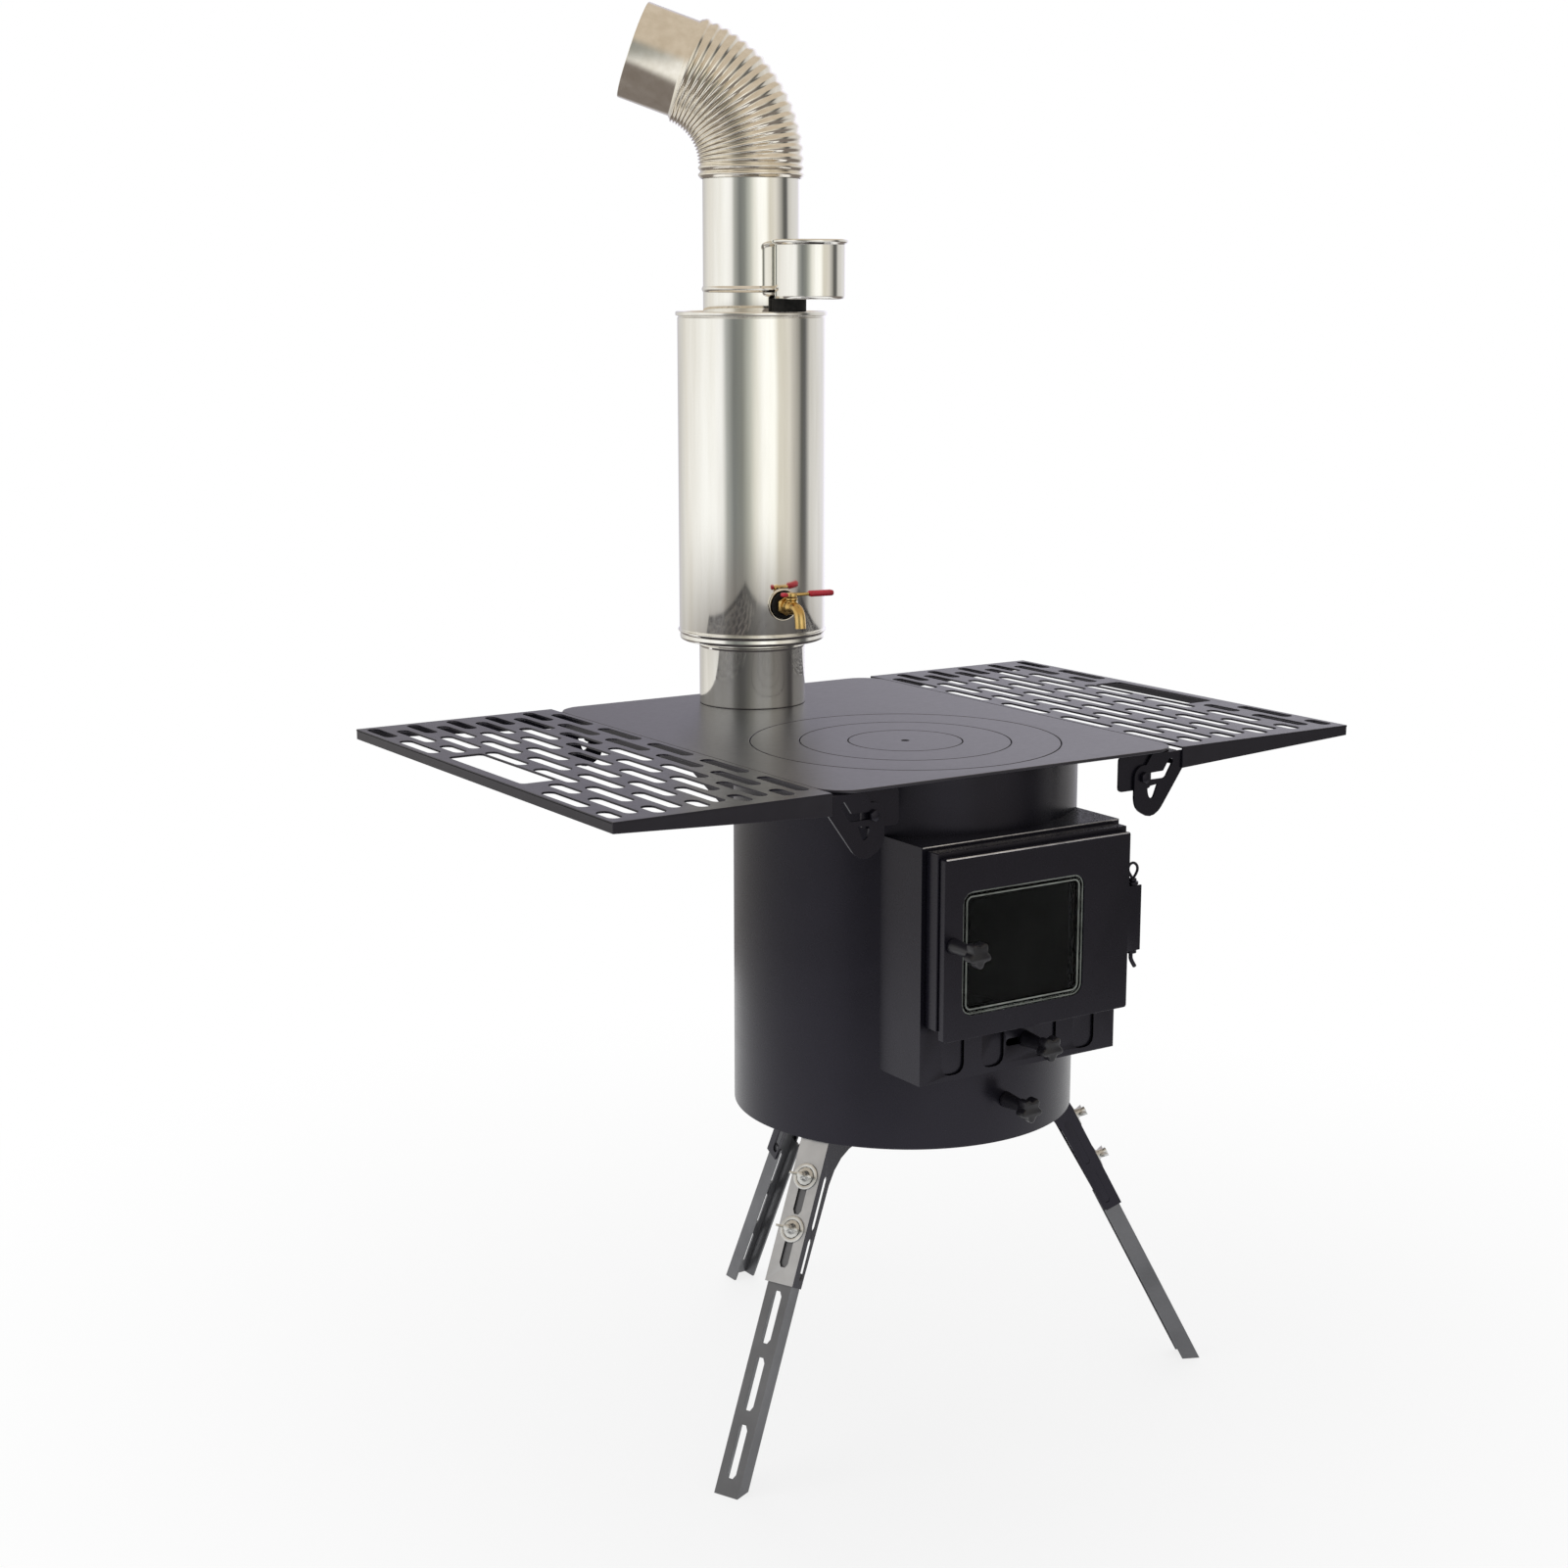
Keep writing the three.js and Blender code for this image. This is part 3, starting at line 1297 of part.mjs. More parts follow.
// channel open towards the drum's axis, its cheeks flared where they meet the drum
function legSocket() {
  const half = socketWidth / 2;
  const flange = new THREE.Shape();
  flange.moveTo(0, -socketLength);
  flange.lineTo(0, 40);
  flange.lineTo(-socketDepth - 34, 40);
  flange.lineTo(-socketDepth - 34, 10);
  flange.quadraticCurveTo(-socketDepth - 3, -6, -socketDepth, -38);
  flange.lineTo(-socketDepth + 3, -socketLength);
  const web = block(-sheet, 0, -half, half, -socketLength, 40);
  const cheeks = [upright(flange, -half, -half + sheet, 4), upright(flange, half - sheet, half, 4)];
  const across = cheekSlots.map(([from, to]) => upright(
    stadium(-socketDepth + 4.5 + cheekSlotWidth / 2, -to, -from, cheekSlotWidth), -half - 1, half + 1,
  ));
  const slotEnd = travelSlotWidth / 2;
  const travelSlots = boltDrops.map((drop) => legSlot(
    drop - slotEnd, drop + legTravel + slotEnd, travelSlotWidth, -sheet - 1, 1,
  ));
  return cut(join(web, ...cheeks), ...across, ...travelSlots);
}

// the lower part of the leg, which slides behind the socket's face
function legTongue() {
  const half = socketWidth / 2 - sheet - seatGap;
  const outer = -sheet - seatGap;
  const length = drumBottom / Math.cos(legSlopeRadians) + 30;
  const top = -boltDrops[0] + 16;
  const web = block(outer - sheet, outer, -half, half, -length, top);
  const flangeTop = -(socketLength - 14);
  const flanges = [-half, half - sheet].map((y) => block(
    outer - legDepth, outer, y, y + sheet, -length, flangeTop,
  ));
  const slots = Array.from({ length: legSlotCount }, (_, i) => {
    const start = legSlotStart + i * legSlotPitch;
    return legSlot(start, start + legSlotLength, legSlotWidth, outer - sheet - 1, outer + 1);
  });
  const bores = boltDrops.map((drop) => rod(boltRadius + seatGap, outer - sheet - 1, outer + 1, 12)
    .rotateY(Math.PI / 2)
    .translate(0, 0, -drop));
  return cut(join(web, ...flanges), ...slots, ...bores);
}

// bolt, washer and wing nut, along +X from the inside of the tongue
function wingBolt() {
  const inside = -2 * sheet - 2 * seatGap;
  const head = new THREE.CylinderGeometry(5, 5, 3.5, 6).rotateZ(Math.PI / 2).translate(inside - 1.75, 0, 0);
  const turned = (radius, x0, x1) => rod(radius, x0, x1, 10).rotateY(Math.PI / 2);
  const shank = turned(boltRadius, inside - 1, 12);
  const washer = turned(washerSize, seatGap, seatGap + 1.4);
  const nut = new THREE.CylinderGeometry(3.6, 5.4, 6.5, 10).rotateZ(-Math.PI / 2).translate(4.8, 0, 0);
  const wing = new THREE.Shape();
  wing.moveTo(2.4, 2.5);
  wing.lineTo(4.5, 8.5);
  wing.quadraticCurveTo(7, 12.5, 11, 12);
  wing.quadraticCurveTo(12.8, 9.5, 10, 6.5);
  wing.lineTo(7, 2.5);
  const blade = slab(wing, -1.2, 1.2, 1);
  const opposite = blade.clone().rotateX(Math.PI);
  return join(head, shank, washer, nut, blade, opposite);
}

const belowDrum = block(-2 * plateDepth, 2 * plateDepth, -2 * plateDepth, 2 * plateDepth, drumBottom - seatGap,
  drumBottom + 200);
const belowFloor = block(-2 * plateDepth, 2 * plateDepth, -2 * plateDepth, 2 * plateDepth, -200, 0);

Object.entries(legAngles).forEach(([name, degrees]) => {
  const matrix = legMatrix(degrees);
  painted(`${name}_leg_socket`, cut(legSocket().applyMatrix4(matrix), belowDrum));
  add(`${name}_leg`, cut(legTongue().applyMatrix4(matrix), belowFloor), 0x55565a, 0.5, 0.5);
  const [upperDrop, lowerDrop] = boltDrops;
  zinc(`${name}_upper_wing_bolt`, wingBolt().translate(0, 0, -upperDrop).applyMatrix4(matrix));
  zinc(`${name}_lower_wing_bolt`, wingBolt().translate(0, 0, -lowerDrop).applyMatrix4(matrix));
});

// ---- the middle of the base becomes the origin -----------------------------------------------------

const bounds = new THREE.Box3().setFromObject(stove);
const middle = bounds.getCenter(new THREE.Vector3());
stove.position.set(-middle.x, -middle.y, -bounds.min.z);
stove.updateMatrixWorld(true);

export default stove;
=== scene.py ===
# Tent wood stove: finished pieces, materials, floor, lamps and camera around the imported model.
# Shapes are drawn in stove millimetres (drum axis at x = y = 0, door towards -Y, floor at z = 0)
# and moved into the model's frame when a piece is placed.
import math

import bmesh
import bpy
from mathutils import Matrix, Vector


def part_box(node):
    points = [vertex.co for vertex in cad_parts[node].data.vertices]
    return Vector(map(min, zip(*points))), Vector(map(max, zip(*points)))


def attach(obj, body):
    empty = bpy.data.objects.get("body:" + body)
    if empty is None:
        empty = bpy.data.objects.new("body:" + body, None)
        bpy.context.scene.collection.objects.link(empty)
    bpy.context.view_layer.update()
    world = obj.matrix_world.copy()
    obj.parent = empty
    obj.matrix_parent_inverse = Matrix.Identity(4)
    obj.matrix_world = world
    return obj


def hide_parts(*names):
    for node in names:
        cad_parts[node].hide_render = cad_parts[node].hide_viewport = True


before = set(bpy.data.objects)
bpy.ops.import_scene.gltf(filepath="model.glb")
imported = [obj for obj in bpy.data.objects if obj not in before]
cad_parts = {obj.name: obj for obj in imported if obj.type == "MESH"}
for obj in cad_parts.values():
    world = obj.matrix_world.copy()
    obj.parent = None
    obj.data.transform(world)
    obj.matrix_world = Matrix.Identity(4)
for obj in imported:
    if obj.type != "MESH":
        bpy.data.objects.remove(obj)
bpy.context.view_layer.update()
lidLow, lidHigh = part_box("centre_lid")
axisY = (lidLow.y + lidHigh.y) / 2
toModel = Matrix.Translation((0, axisY, 0)) @ Matrix.Scale(0.001, 4)
flueY = 274  # the chimney stands this far behind the drum's axis
print("stove: model loaded,", len(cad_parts), "nodes")


# ---- materials ----

def startMaterial(name, look):
    material = bpy.data.materials.new(name)
    material.use_nodes = True
    tree = material.node_tree
    tree.nodes.clear()
    output = addNode(tree, "OutputMaterial")
    shader = addNode(tree, "BsdfPrincipled", look)
    tree.links.new(shader.outputs["BSDF"], output.inputs["Surface"])
    return material, tree, shader


def addNode(tree, kind, values=()):
    node = tree.nodes.new("ShaderNode" + kind)
    for socket, value in dict(values).items():
        node.inputs[socket].default_value = value
    return node


def linkAll(tree, pairs):
    for source, target in pairs:
        tree.links.new(source, target)


def addNoise(tree, scale, detail=3.0, stretch=(1, 1, 1)):
    spot = addNode(tree, "TexCoord")
    mapping = addNode(tree, "Mapping", {"Scale": stretch})
    noise = addNode(tree, "TexNoise", {"Scale": scale, "Detail": detail, "Distortion": 0.0})
    linkAll(tree, [(spot.outputs["Object"], mapping.inputs["Vector"]),
                   (mapping.outputs["Vector"], noise.inputs["Vector"])])
    return noise.outputs["Fac"]


def addRamp(tree, source, low, high, start=0.3, end=0.7):
    ramp = tree.nodes.new("ShaderNodeValToRGB")
    ramp.color_ramp.elements[0].position = start
    ramp.color_ramp.elements[0].color = (*low, 1)
    ramp.color_ramp.elements[1].position = end
    ramp.color_ramp.elements[1].color = (*high, 1)
    tree.links.new(source, ramp.inputs["Fac"])
    return ramp.outputs["Color"]


def addRange(tree, source, low, high):
    spread = addNode(tree, "MapRange", {"From Min": 0.3, "From Max": 0.7, "To Min": low, "To Max": high})
    tree.links.new(source, spread.inputs["Value"])
    return spread.outputs["Result"]


def addBump(tree, shader, height, strength, distance):
    bump = addNode(tree, "Bump", {"Strength": strength, "Distance": distance})
    tree.links.new(height, bump.inputs["Height"])
    tree.links.new(bump.outputs["Normal"], shader.inputs["Normal"])


def coatedMaterial(name, dark, light, roughness, grain, blotch, strength, gloss, metal=0.0, tint=(1, 1, 1)):
    # a sprayed coat: uneven tone, uneven roughness and a fine orange-peel surface
    material, tree, shader = startMaterial(name, {
        "Specular IOR Level": gloss, "Metallic": metal, "Specular Tint": (*tint, 1)})
    tone = addNoise(tree, blotch, 4.0)
    tree.links.new(addRamp(tree, tone, dark, light), shader.inputs["Base Color"])
    patch = addNoise(tree, blotch * 3.1, 3.0)
    tree.links.new(addRange(tree, patch, *roughness), shader.inputs["Roughness"])
    addBump(tree, shader, addNoise(tree, grain, 2.0), strength, 0.0002)
    return material


def sheetMetalMaterial(name, dark, light, roughness, ripple, lengthwise=(1, 1, 0.06)):
    # rolled bright sheet: streaks along the rolling, and a faint ripple that bends what it mirrors
    material, tree, shader = startMaterial(name, {"Metallic": 1.0})
    streak = addNoise(tree, 90.0, 4.0, lengthwise)
    tree.links.new(addRamp(tree, streak, dark, light), shader.inputs["Base Color"])
    haze = addNoise(tree, 26.0, 3.0, lengthwise)
    tree.links.new(addRange(tree, haze, *roughness), shader.inputs["Roughness"])
    addBump(tree, shader, addNoise(tree, 19.0, 2.0, lengthwise), ripple, 0.003)
    return material


print("stove: materials")
coats = {
    "blackCoat": dict(dark=(0.0060, 0.0056, 0.0092), light=(0.0086, 0.0080, 0.0126), roughness=(0.26, 0.285),
                      grain=1400.0, blotch=18.0, strength=0.05, gloss=0.36, tint=(0.88, 0.84, 1.0)),
    "shelfCoat": dict(dark=(0.0100, 0.0094, 0.0140), light=(0.0140, 0.0132, 0.0190), roughness=(0.30, 0.325),
                      grain=1700.0, blotch=45.0, strength=0.05, gloss=0.46, tint=(0.92, 0.88, 1.0)),
    # near-black for the inside faces: a soot tone made far darker than soot, as painted shade of the closed firebox
    "sootAndShadeIron": dict(dark=(0.0006, 0.0006, 0.0006), light=(0.0018, 0.0016, 0.0014), roughness=(0.88, 0.97),
                       grain=500.0, blotch=30.0, strength=0.1, gloss=0.01),
    # bright bare metal for the top-edge strips: a painted highlight line, not real wear
    "paintedHighlightEdge": dict(dark=(0.42, 0.41, 0.42), light=(0.78, 0.76, 0.76), roughness=(0.30, 0.42), grain=1500.0,
                     blotch=60.0, strength=0.1, gloss=0.5, metal=0.9),
    # the plate's black coat, its tone lifted above the drum's black: part coat colour, part painted sheen
    "plateCoatAndSheen": dict(dark=(0.0165, 0.0155, 0.0215), light=(0.0230, 0.0220, 0.0290), roughness=(0.325, 0.345),
                      grain=1900.0, blotch=55.0, strength=0.06, gloss=0.59, tint=(0.94, 0.91, 1.0)),
    "grateIron": dict(dark=(0.010, 0.009, 0.008), light=(0.034, 0.028, 0.023), roughness=(0.62, 0.85),
                      grain=420.0, blotch=22.0, strength=0.5, gloss=0.3),
    "legCoat": dict(dark=(0.125, 0.126, 0.133), light=(0.170, 0.171, 0.180), roughness=(0.32, 0.40),
                    grain=1300.0, blotch=16.0, strength=0.08, gloss=0.5, metal=0.6),
    # bright metal for the sockets' outward faces: a painted glare on black-coated steel
    "socketGlareFace": dict(dark=(0.40, 0.40, 0.41), light=(0.52, 0.52, 0.53), roughness=(0.30, 0.40),
                       grain=1200.0, blotch=30.0, strength=0.1, gloss=0.5, metal=0.75),
    "knobMoulding": dict(dark=(0.0095, 0.009, 0.012), light=(0.015, 0.014, 0.019), roughness=(0.30, 0.40),
                         grain=1900.0, blotch=40.0, strength=0.12, gloss=0.45),
    "blackRubber": dict(dark=(0.006, 0.006, 0.006), light=(0.013, 0.013, 0.012), roughness=(0.62, 0.8),
                        grain=1500.0, blotch=60.0, strength=0.25, gloss=0.35),
    # pale tone for the window's ground steps: partly ground-glass colour, partly a painted highlight
    "groundEdgeAndGlint": dict(dark=(0.11, 0.125, 0.11), light=(0.30, 0.33, 0.30), roughness=(0.12, 0.30),
                       grain=900.0, blotch=90.0, strength=0.2, gloss=0.9),
    "redSleeve": dict(dark=(0.50, 0.018, 0.035), light=(0.62, 0.028, 0.05), roughness=(0.34, 0.44),
                      grain=1700.0, blotch=70.0, strength=0.12, gloss=0.5),
}
finish = {name: coatedMaterial(name, **look) for name, look in coats.items()}
metals = {
    "stainlessSheet": dict(dark=(0.84, 0.82, 0.77), light=(0.95, 0.94, 0.91), roughness=(0.06, 0.11), ripple=0.30),
    "stainlessElbow": dict(dark=(0.80, 0.75, 0.66), light=(0.92, 0.88, 0.80), roughness=(0.10, 0.17), ripple=0.08,
                           lengthwise=(1, 1, 1)),
    "zincPlate": dict(dark=(0.52, 0.52, 0.51), light=(0.72, 0.72, 0.71), roughness=(0.20, 0.34), ripple=0.05,
                      lengthwise=(1, 1, 1)),
    "castBrass": dict(dark=(0.60, 0.38, 0.12), light=(0.78, 0.55, 0.22), roughness=(0.18, 0.32), ripple=0.08,
                      lengthwise=(1, 1, 1)),
}
for name, look in metals.items():
    finish[name] = sheetMetalMaterial(name, **look)


def windowMaterial():
    # clear, with a faint green-grey smoke stain that varies over the pane
    material, tree, shader = startMaterial("windowGlass", {
        "Roughness": 0.0, "IOR": 1.45, "Transmission Weight": 1.0, "Specular Tint": (0.045, 0.05, 0.06, 1)})
    tree.links.new(addRamp(tree, addNoise(tree, 22.0, 4.0), (0.66, 0.70, 0.66), (0.86, 0.90, 0.87)),
                   shader.inputs["Base Color"])
    return material


def sealMaterial():
    # woven glass-fibre tape: two crossed waves make the plait
    material, tree, shader = startMaterial("wovenSeal", {"Roughness": 0.92, "Specular IOR Level": 0.2})
    place = tree.nodes.new("ShaderNodeTexCoord")
    heights = []
    for direction in ("X", "Z"):
        wave = tree.nodes.new("ShaderNodeTexWave")
        wave.bands_direction = direction
        wave.inputs["Scale"].default_value = 260.0
        wave.inputs["Distortion"].default_value = 1.5
        tree.links.new(place.outputs["Object"], wave.inputs["Vector"])
        heights.append(wave.outputs["Fac"])
    plait = tree.nodes.new("ShaderNodeMath")
    plait.operation = "MULTIPLY"
    tree.links.new(heights[0], plait.inputs[0])
    tree.links.new(heights[1], plait.inputs[1])
    tree.links.new(addRamp(tree, plait.outputs["Value"], (0.03, 0.029, 0.027), (0.085, 0.08, 0.075), 0.0, 0.7),
                   shader.inputs["Base Color"])
    addBump(tree, shader, plait.outputs["Value"], 0.5, 0.0006)
    return material


finish["windowGlass"] = windowMaterial()
finish["wovenSeal"] = sealMaterial()


# ---- shaping helpers ----

def arcPoints(x, y, radius, startTurn, endTurn, steps):
    turns = [math.radians(startTurn + (endTurn - startTurn) * i / steps) for i in range(steps + 1)]
    return [(x + radius * math.cos(turn), y + radius * math.sin(turn)) for turn in turns]


def rectangleLoop(x0, x1, y0, y1, radius, steps=8):
    corners = [(x1 - radius, y0 + radius, -90), (x1 - radius, y1 - radius, 0),
               (x0 + radius, y1 - radius, 90), (x0 + radius, y0 + radius, 180)]
    return [point for x, y, start in corners for point in arcPoints(x, y, radius, start, start + 90, steps)]


def slotLoop(x, low, high, width, steps=10):
    radius = width / 2
    upper = arcPoints(x, high - radius, radius, 0, 180, steps)
    lower = arcPoints(x, low + radius, radius, 180, 360, steps)
    return upper + lower


def circleLoop(x, y, radius, steps=96):
    return arcPoints(x, y, radius, 0, 360, steps)[:-1]


def meshedCurve(curve):
    holder = bpy.data.objects.new(curve.name, curve)
    mesh = bpy.data.meshes.new_from_object(holder)
    shape = bmesh.new()
    shape.from_mesh(mesh)
    bpy.data.objects.remove(holder)
    bpy.data.meshes.remove(mesh)
    bpy.data.curves.remove(curve)
    return shape


def merged(shape):
    bmesh.ops.remove_doubles(shape, verts=shape.verts[:], dist=0.01)
    bmesh.ops.recalc_face_normals(shape, faces=shape.faces[:])
    return shape


def flatSheet(outline, holes, thickness, roundOver):
    # a sheet cut from a drawn outline, lying on z = 0, its edges eased on both faces
    curve = bpy.data.curves.new("drawnSheet", "CURVE")
    curve.dimensions = "2D"
    curve.fill_mode = "BOTH"
    curve.extrude = thickness / 2 - roundOver
    curve.bevel_depth = roundOver
    curve.bevel_resolution = 1
    curve.offset = -roundOver
    for index, loop in enumerate([outline] + list(holes)):
        drawn = loop if index == 0 else loop[::-1]
        spline = curve.splines.new("POLY")
        spline.points.add(len(drawn) - 1)
        for point, (x, y) in zip(spline.points, drawn):
            point.co = (x, y, 0, 1)
        spline.use_cyclic_u = True
    shape = merged(meshedCurve(curve))
    bmesh.ops.translate(shape, verts=shape.verts[:], vec=(0, 0, thickness / 2))
    return shape


def turnedShape(profile, steps=96, ease=0.4, closed=True):
    # a section of (radius, height) corners turned about z, its corners eased first
    shape = bmesh.new()
    corners = [shape.verts.new((radius, 0, height)) for radius, height in profile]
    for first, second in zip(corners, corners[1:]):
        shape.edges.new((first, second))
    if closed:
        shape.edges.new((corners[-1], corners[0]))
    if ease:
        eased = [corner for corner in corners if corner.co.x > 0.01]
        bmesh.ops.bevel(shape, geom=eased, offset=ease, offset_type="OFFSET", segments=3, profile=0.5,
                        affect="VERTICES", clamp_overlap=True, material=-1)
    bmesh.ops.spin(shape, geom=shape.verts[:] + shape.edges[:], cent=(0, 0, 0), axis=(0, 0, 1),
                   angle=2 * math.pi, steps=steps, use_merge=True)
    bmesh.ops.remove_doubles(shape, verts=shape.verts[:], dist=0.005)
    bmesh.ops.recalc_face_normals(shape, faces=shape.faces[:])
    return shape


def easedBox(x0, x1, y0, y1, z0, z1, ease=0.6):
    shape = bmesh.new()
    bmesh.ops.create_cube(shape, size=1)
    bmesh.ops.scale(shape, verts=shape.verts[:], vec=(x1 - x0, y1 - y0, z1 - z0))
    bmesh.ops.translate(shape, verts=shape.verts[:], vec=((x0 + x1) / 2, (y0 + y1) / 2, (z0 + z1) / 2))
    bmesh.ops.bevel(shape, geom=shape.edges[:], offset=ease, offset_type="OFFSET", segments=2, profile=0.5,
                    affect="EDGES", clamp_overlap=True, material=-1)
    return shape


def softenedCopy(node, ease, segments=2, sharpTurn=38):
    # a merged copy of a node's solid, in stove millimetres, with its folded and cut edges eased
    shape = bmesh.new()
    shape.from_mesh(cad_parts[node].data)
    shape.transform(toModel.inverted())
    bmesh.ops.remove_doubles(shape, verts=shape.verts[:], dist=0.02)
    bmesh.ops.dissolve_limit(shape, angle_limit=math.radians(0.8), verts=shape.verts[:], edges=shape.edges[:])
    sharp = [edge for edge in shape.edges
             if edge.is_manifold and edge.calc_face_angle(0) > math.radians(sharpTurn)]
    bmesh.ops.bevel(shape, geom=sharp, offset=ease, offset_type="OFFSET", segments=segments, profile=0.5,
                    affect="EDGES", clamp_overlap=True, material=-1)
    return shape


def joined(*shapes):
    whole = bmesh.new()
    for shape in shapes:
        mesh = bpy.data.meshes.new("part")
        shape.to_mesh(mesh)
        shape.free()
        whole.from_mesh(mesh)
        bpy.data.meshes.remove(mesh)
    return whole


def moved(shape, matrix):
    shape.transform(matrix)
    return shape


def mirroredCopy(shape):
    other = shape.copy()
    other.transform(Matrix.Scale(-1, 4, (1, 0, 0)))
    bmesh.ops.reverse_faces(other, faces=other.faces[:])
    return other


def standingAt(y):  # a sheet drawn as (x, z), its front face towards -Y and its back at y
    return Matrix.Translation((0, y, 0)) @ Matrix.Rotation(math.radians(90), 4, "X")


alongY = Matrix.Rotation(math.radians(90), 4, "X")  # turns a shape's +z towards -Y


def place(shape, name, body, slotName, look, replaced=(), smoothTurn=40, evenShading=False):
    shape.transform(toModel)
    mesh = bpy.data.meshes.new(name)
    shape.to_mesh(mesh)
    shape.free()
    mesh.shade_smooth()
    mesh.set_sharp_from_angle(angle=math.radians(smoothTurn))
    mesh.materials.append(finish[look])
    piece = bpy.data.objects.new(name, mesh)
    bpy.context.scene.collection.objects.link(piece)
    if evenShading:
        even = piece.modifiers.new("evenShading", "WEIGHTED_NORMAL")
        even.keep_sharp = True
    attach(piece, body)
    if replaced:
        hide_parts(*replaced)
    return piece


def placeSoftened(node, ease, name, body, slotName, look, smoothTurn=40, evenShading=False, segments=2):
    return place(softenedCopy(node, ease, segments), name, body, slotName, look, [node], smoothTurn, evenShading)


def secondLook(piece, look, chosen):  # gives the faces that a test picks, by middle and normal, another look
    piece.data.materials.append(finish[look])
    inward = toModel.inverted()
    for face in piece.data.polygons:
        if chosen(inward @ face.center, face.normal):
            face.material_index = 1


# ---- cooking plate and lift-out rings ----

print("stove: cooking plate")
plate = {
    "halfWidth": 200, "front": -171, "back": 344, "corner": 31, "top": 650, "thickness": 3,
    "ringRadius": 148.5, "middleRadius": 101, "lidRadius": 54.5, "gap": 1.0, "ledge": 6,
    "ledgeThickness": 2.5, "flueHole": 54.2, "easedEdge": 0.8, "lidHole": 4, "lidUnder": 647.3,
}


def cookingPlate():
    outline = rectangleLoop(-plate["halfWidth"], plate["halfWidth"], plate["front"], plate["back"],
                            plate["corner"], 16)
    holes = [circleLoop(0, 0, plate["ringRadius"] + plate["gap"], 144), circleLoop(0, flueY, plate["flueHole"], 72)]
    sheet = flatSheet(outline, holes, plate["thickness"], plate["easedEdge"])
    under = plate["top"] - plate["thickness"]
    moved(sheet, Matrix.Translation((0, 0, under)))
    ledgeTop = under - 0.3
    radius = plate["ringRadius"]
    ledgeUnder = ledgeTop - plate["ledgeThickness"]
    inner = radius - plate["ledge"]
    outer = radius + plate["ledge"]
    ledge = turnedShape([(inner, ledgeTop), (inner, ledgeUnder), (outer, ledgeUnder), (outer, under + 0.5),
                         (radius + 1.5, under + 0.5), (radius + 1.5, ledgeTop)], 144, 0.3)
    return joined(sheet, ledge)


def liftOutRing(outer, inner):
    top = plate["top"]
    under = top - plate["thickness"]
    edge = inner + plate["gap"]
    profile = [(edge, top), (edge, under - 0.3), (inner - plate["ledge"], under - 0.3),
               (inner - plate["ledge"], under - 0.3 - plate["ledgeThickness"]),
               (inner + plate["ledge"], under - 0.3 - plate["ledgeThickness"]),
               (inner + plate["ledge"], under + 0.3), (outer, under + 0.3), (outer, top)]
    return turnedShape(profile, 144, 0.55)


place(cookingPlate(), "cookingPlateSheet", "stove_frame", "plate_steel", "plateCoatAndSheen", ["cooking_plate"], 50, True)
place(liftOutRing(plate["ringRadius"], plate["middleRadius"]), "outerRingTurned", "outer_cooking_ring",
      "plate_steel", "plateCoatAndSheen", ["outer_ring"], 50, True)
place(liftOutRing(plate["middleRadius"], plate["lidRadius"]), "innerRingTurned", "inner_cooking_ring",
      "plate_steel", "plateCoatAndSheen", ["inner_ring"], 50, True)
lidProfile = [(plate["lidHole"], plate["lidUnder"]), (plate["lidRadius"], plate["lidUnder"]),
              (plate["lidRadius"], plate["top"]), (plate["lidHole"], plate["top"])]
place(turnedShape(lidProfile, 144, 0.55), "centreLidTurned", "lid", "plate_steel", "plateCoatAndSheen", ["centre_lid"], 50,
      True)


# ---- drum ----

print("stove: drum")
drum = {
    "radius": 165, "wall": 2, "bottom": 296, "top": 646.7, "steps": 144,
    "doorwayHalfTurn": 37, "doorway": (387, 579), "smokeHalfTurn": 20, "smokeWay": (528, 637),
    "rodHole": (332.5, 339.5), "ledge": (143, 162.6, 355.7, 353.7),
    "darkInsideWall": 164.6, "darkInsideBase": 160,
}


def drumShell():
    shape = bmesh.new()
    turn = math.radians(180 / drum["steps"])
    levels = sorted([drum["bottom"], *drum["rodHole"], *drum["doorway"], *drum["smokeWay"], drum["top"]])
    line = [shape.verts.new((drum["radius"] * math.cos(turn), drum["radius"] * math.sin(turn), z)) for z in levels]
    for low, high in zip(line, line[1:]):
        shape.edges.new((low, high))
    bmesh.ops.spin(shape, geom=shape.verts[:] + shape.edges[:], cent=(0, 0, 0), axis=(0, 0, 1),
                   angle=2 * math.pi, steps=drum["steps"], use_merge=True)
    bmesh.ops.remove_doubles(shape, verts=shape.verts[:], dist=0.01)

    def opensAt(face):
        middle = face.calc_center_median()
        fromFront = abs(math.degrees(math.atan2(middle.x, -middle.y)))
        doorway = fromFront < drum["doorwayHalfTurn"] and drum["doorway"][0] < middle.z < drum["doorway"][1]
        smoke = 180 - fromFront < drum["smokeHalfTurn"] and drum["smokeWay"][0] < middle.z < drum["smokeWay"][1]
        rod = fromFront < 1 and drum["rodHole"][0] < middle.z < drum["rodHole"][1]
        return doorway or smoke or rod

    bmesh.ops.delete(shape, geom=[face for face in shape.faces if opensAt(face)], context="FACES")
    bmesh.ops.recalc_face_normals(shape, faces=shape.faces[:])
    if sum(face.normal.dot(face.calc_center_median()) for face in shape.faces) < 0:
        bmesh.ops.reverse_faces(shape, faces=shape.faces[:])
    bmesh.ops.solidify(shape, geom=shape.faces[:], thickness=drum["wall"])
    rims = [edge for edge in shape.edges if edge.is_manifold and edge.calc_face_angle(0) > math.radians(60)]
    bmesh.ops.bevel(shape, geom=rims, offset=0.6, offset_type="OFFSET", segments=2, profile=0.5, affect="EDGES",
                    clamp_overlap=True, material=-1)
    inner, outer, top, under = drum["ledge"]
    ledge = turnedShape([(inner, under), (outer, under), (outer, top), (inner, top)], 96, 0.3)
    return joined(shape, ledge)


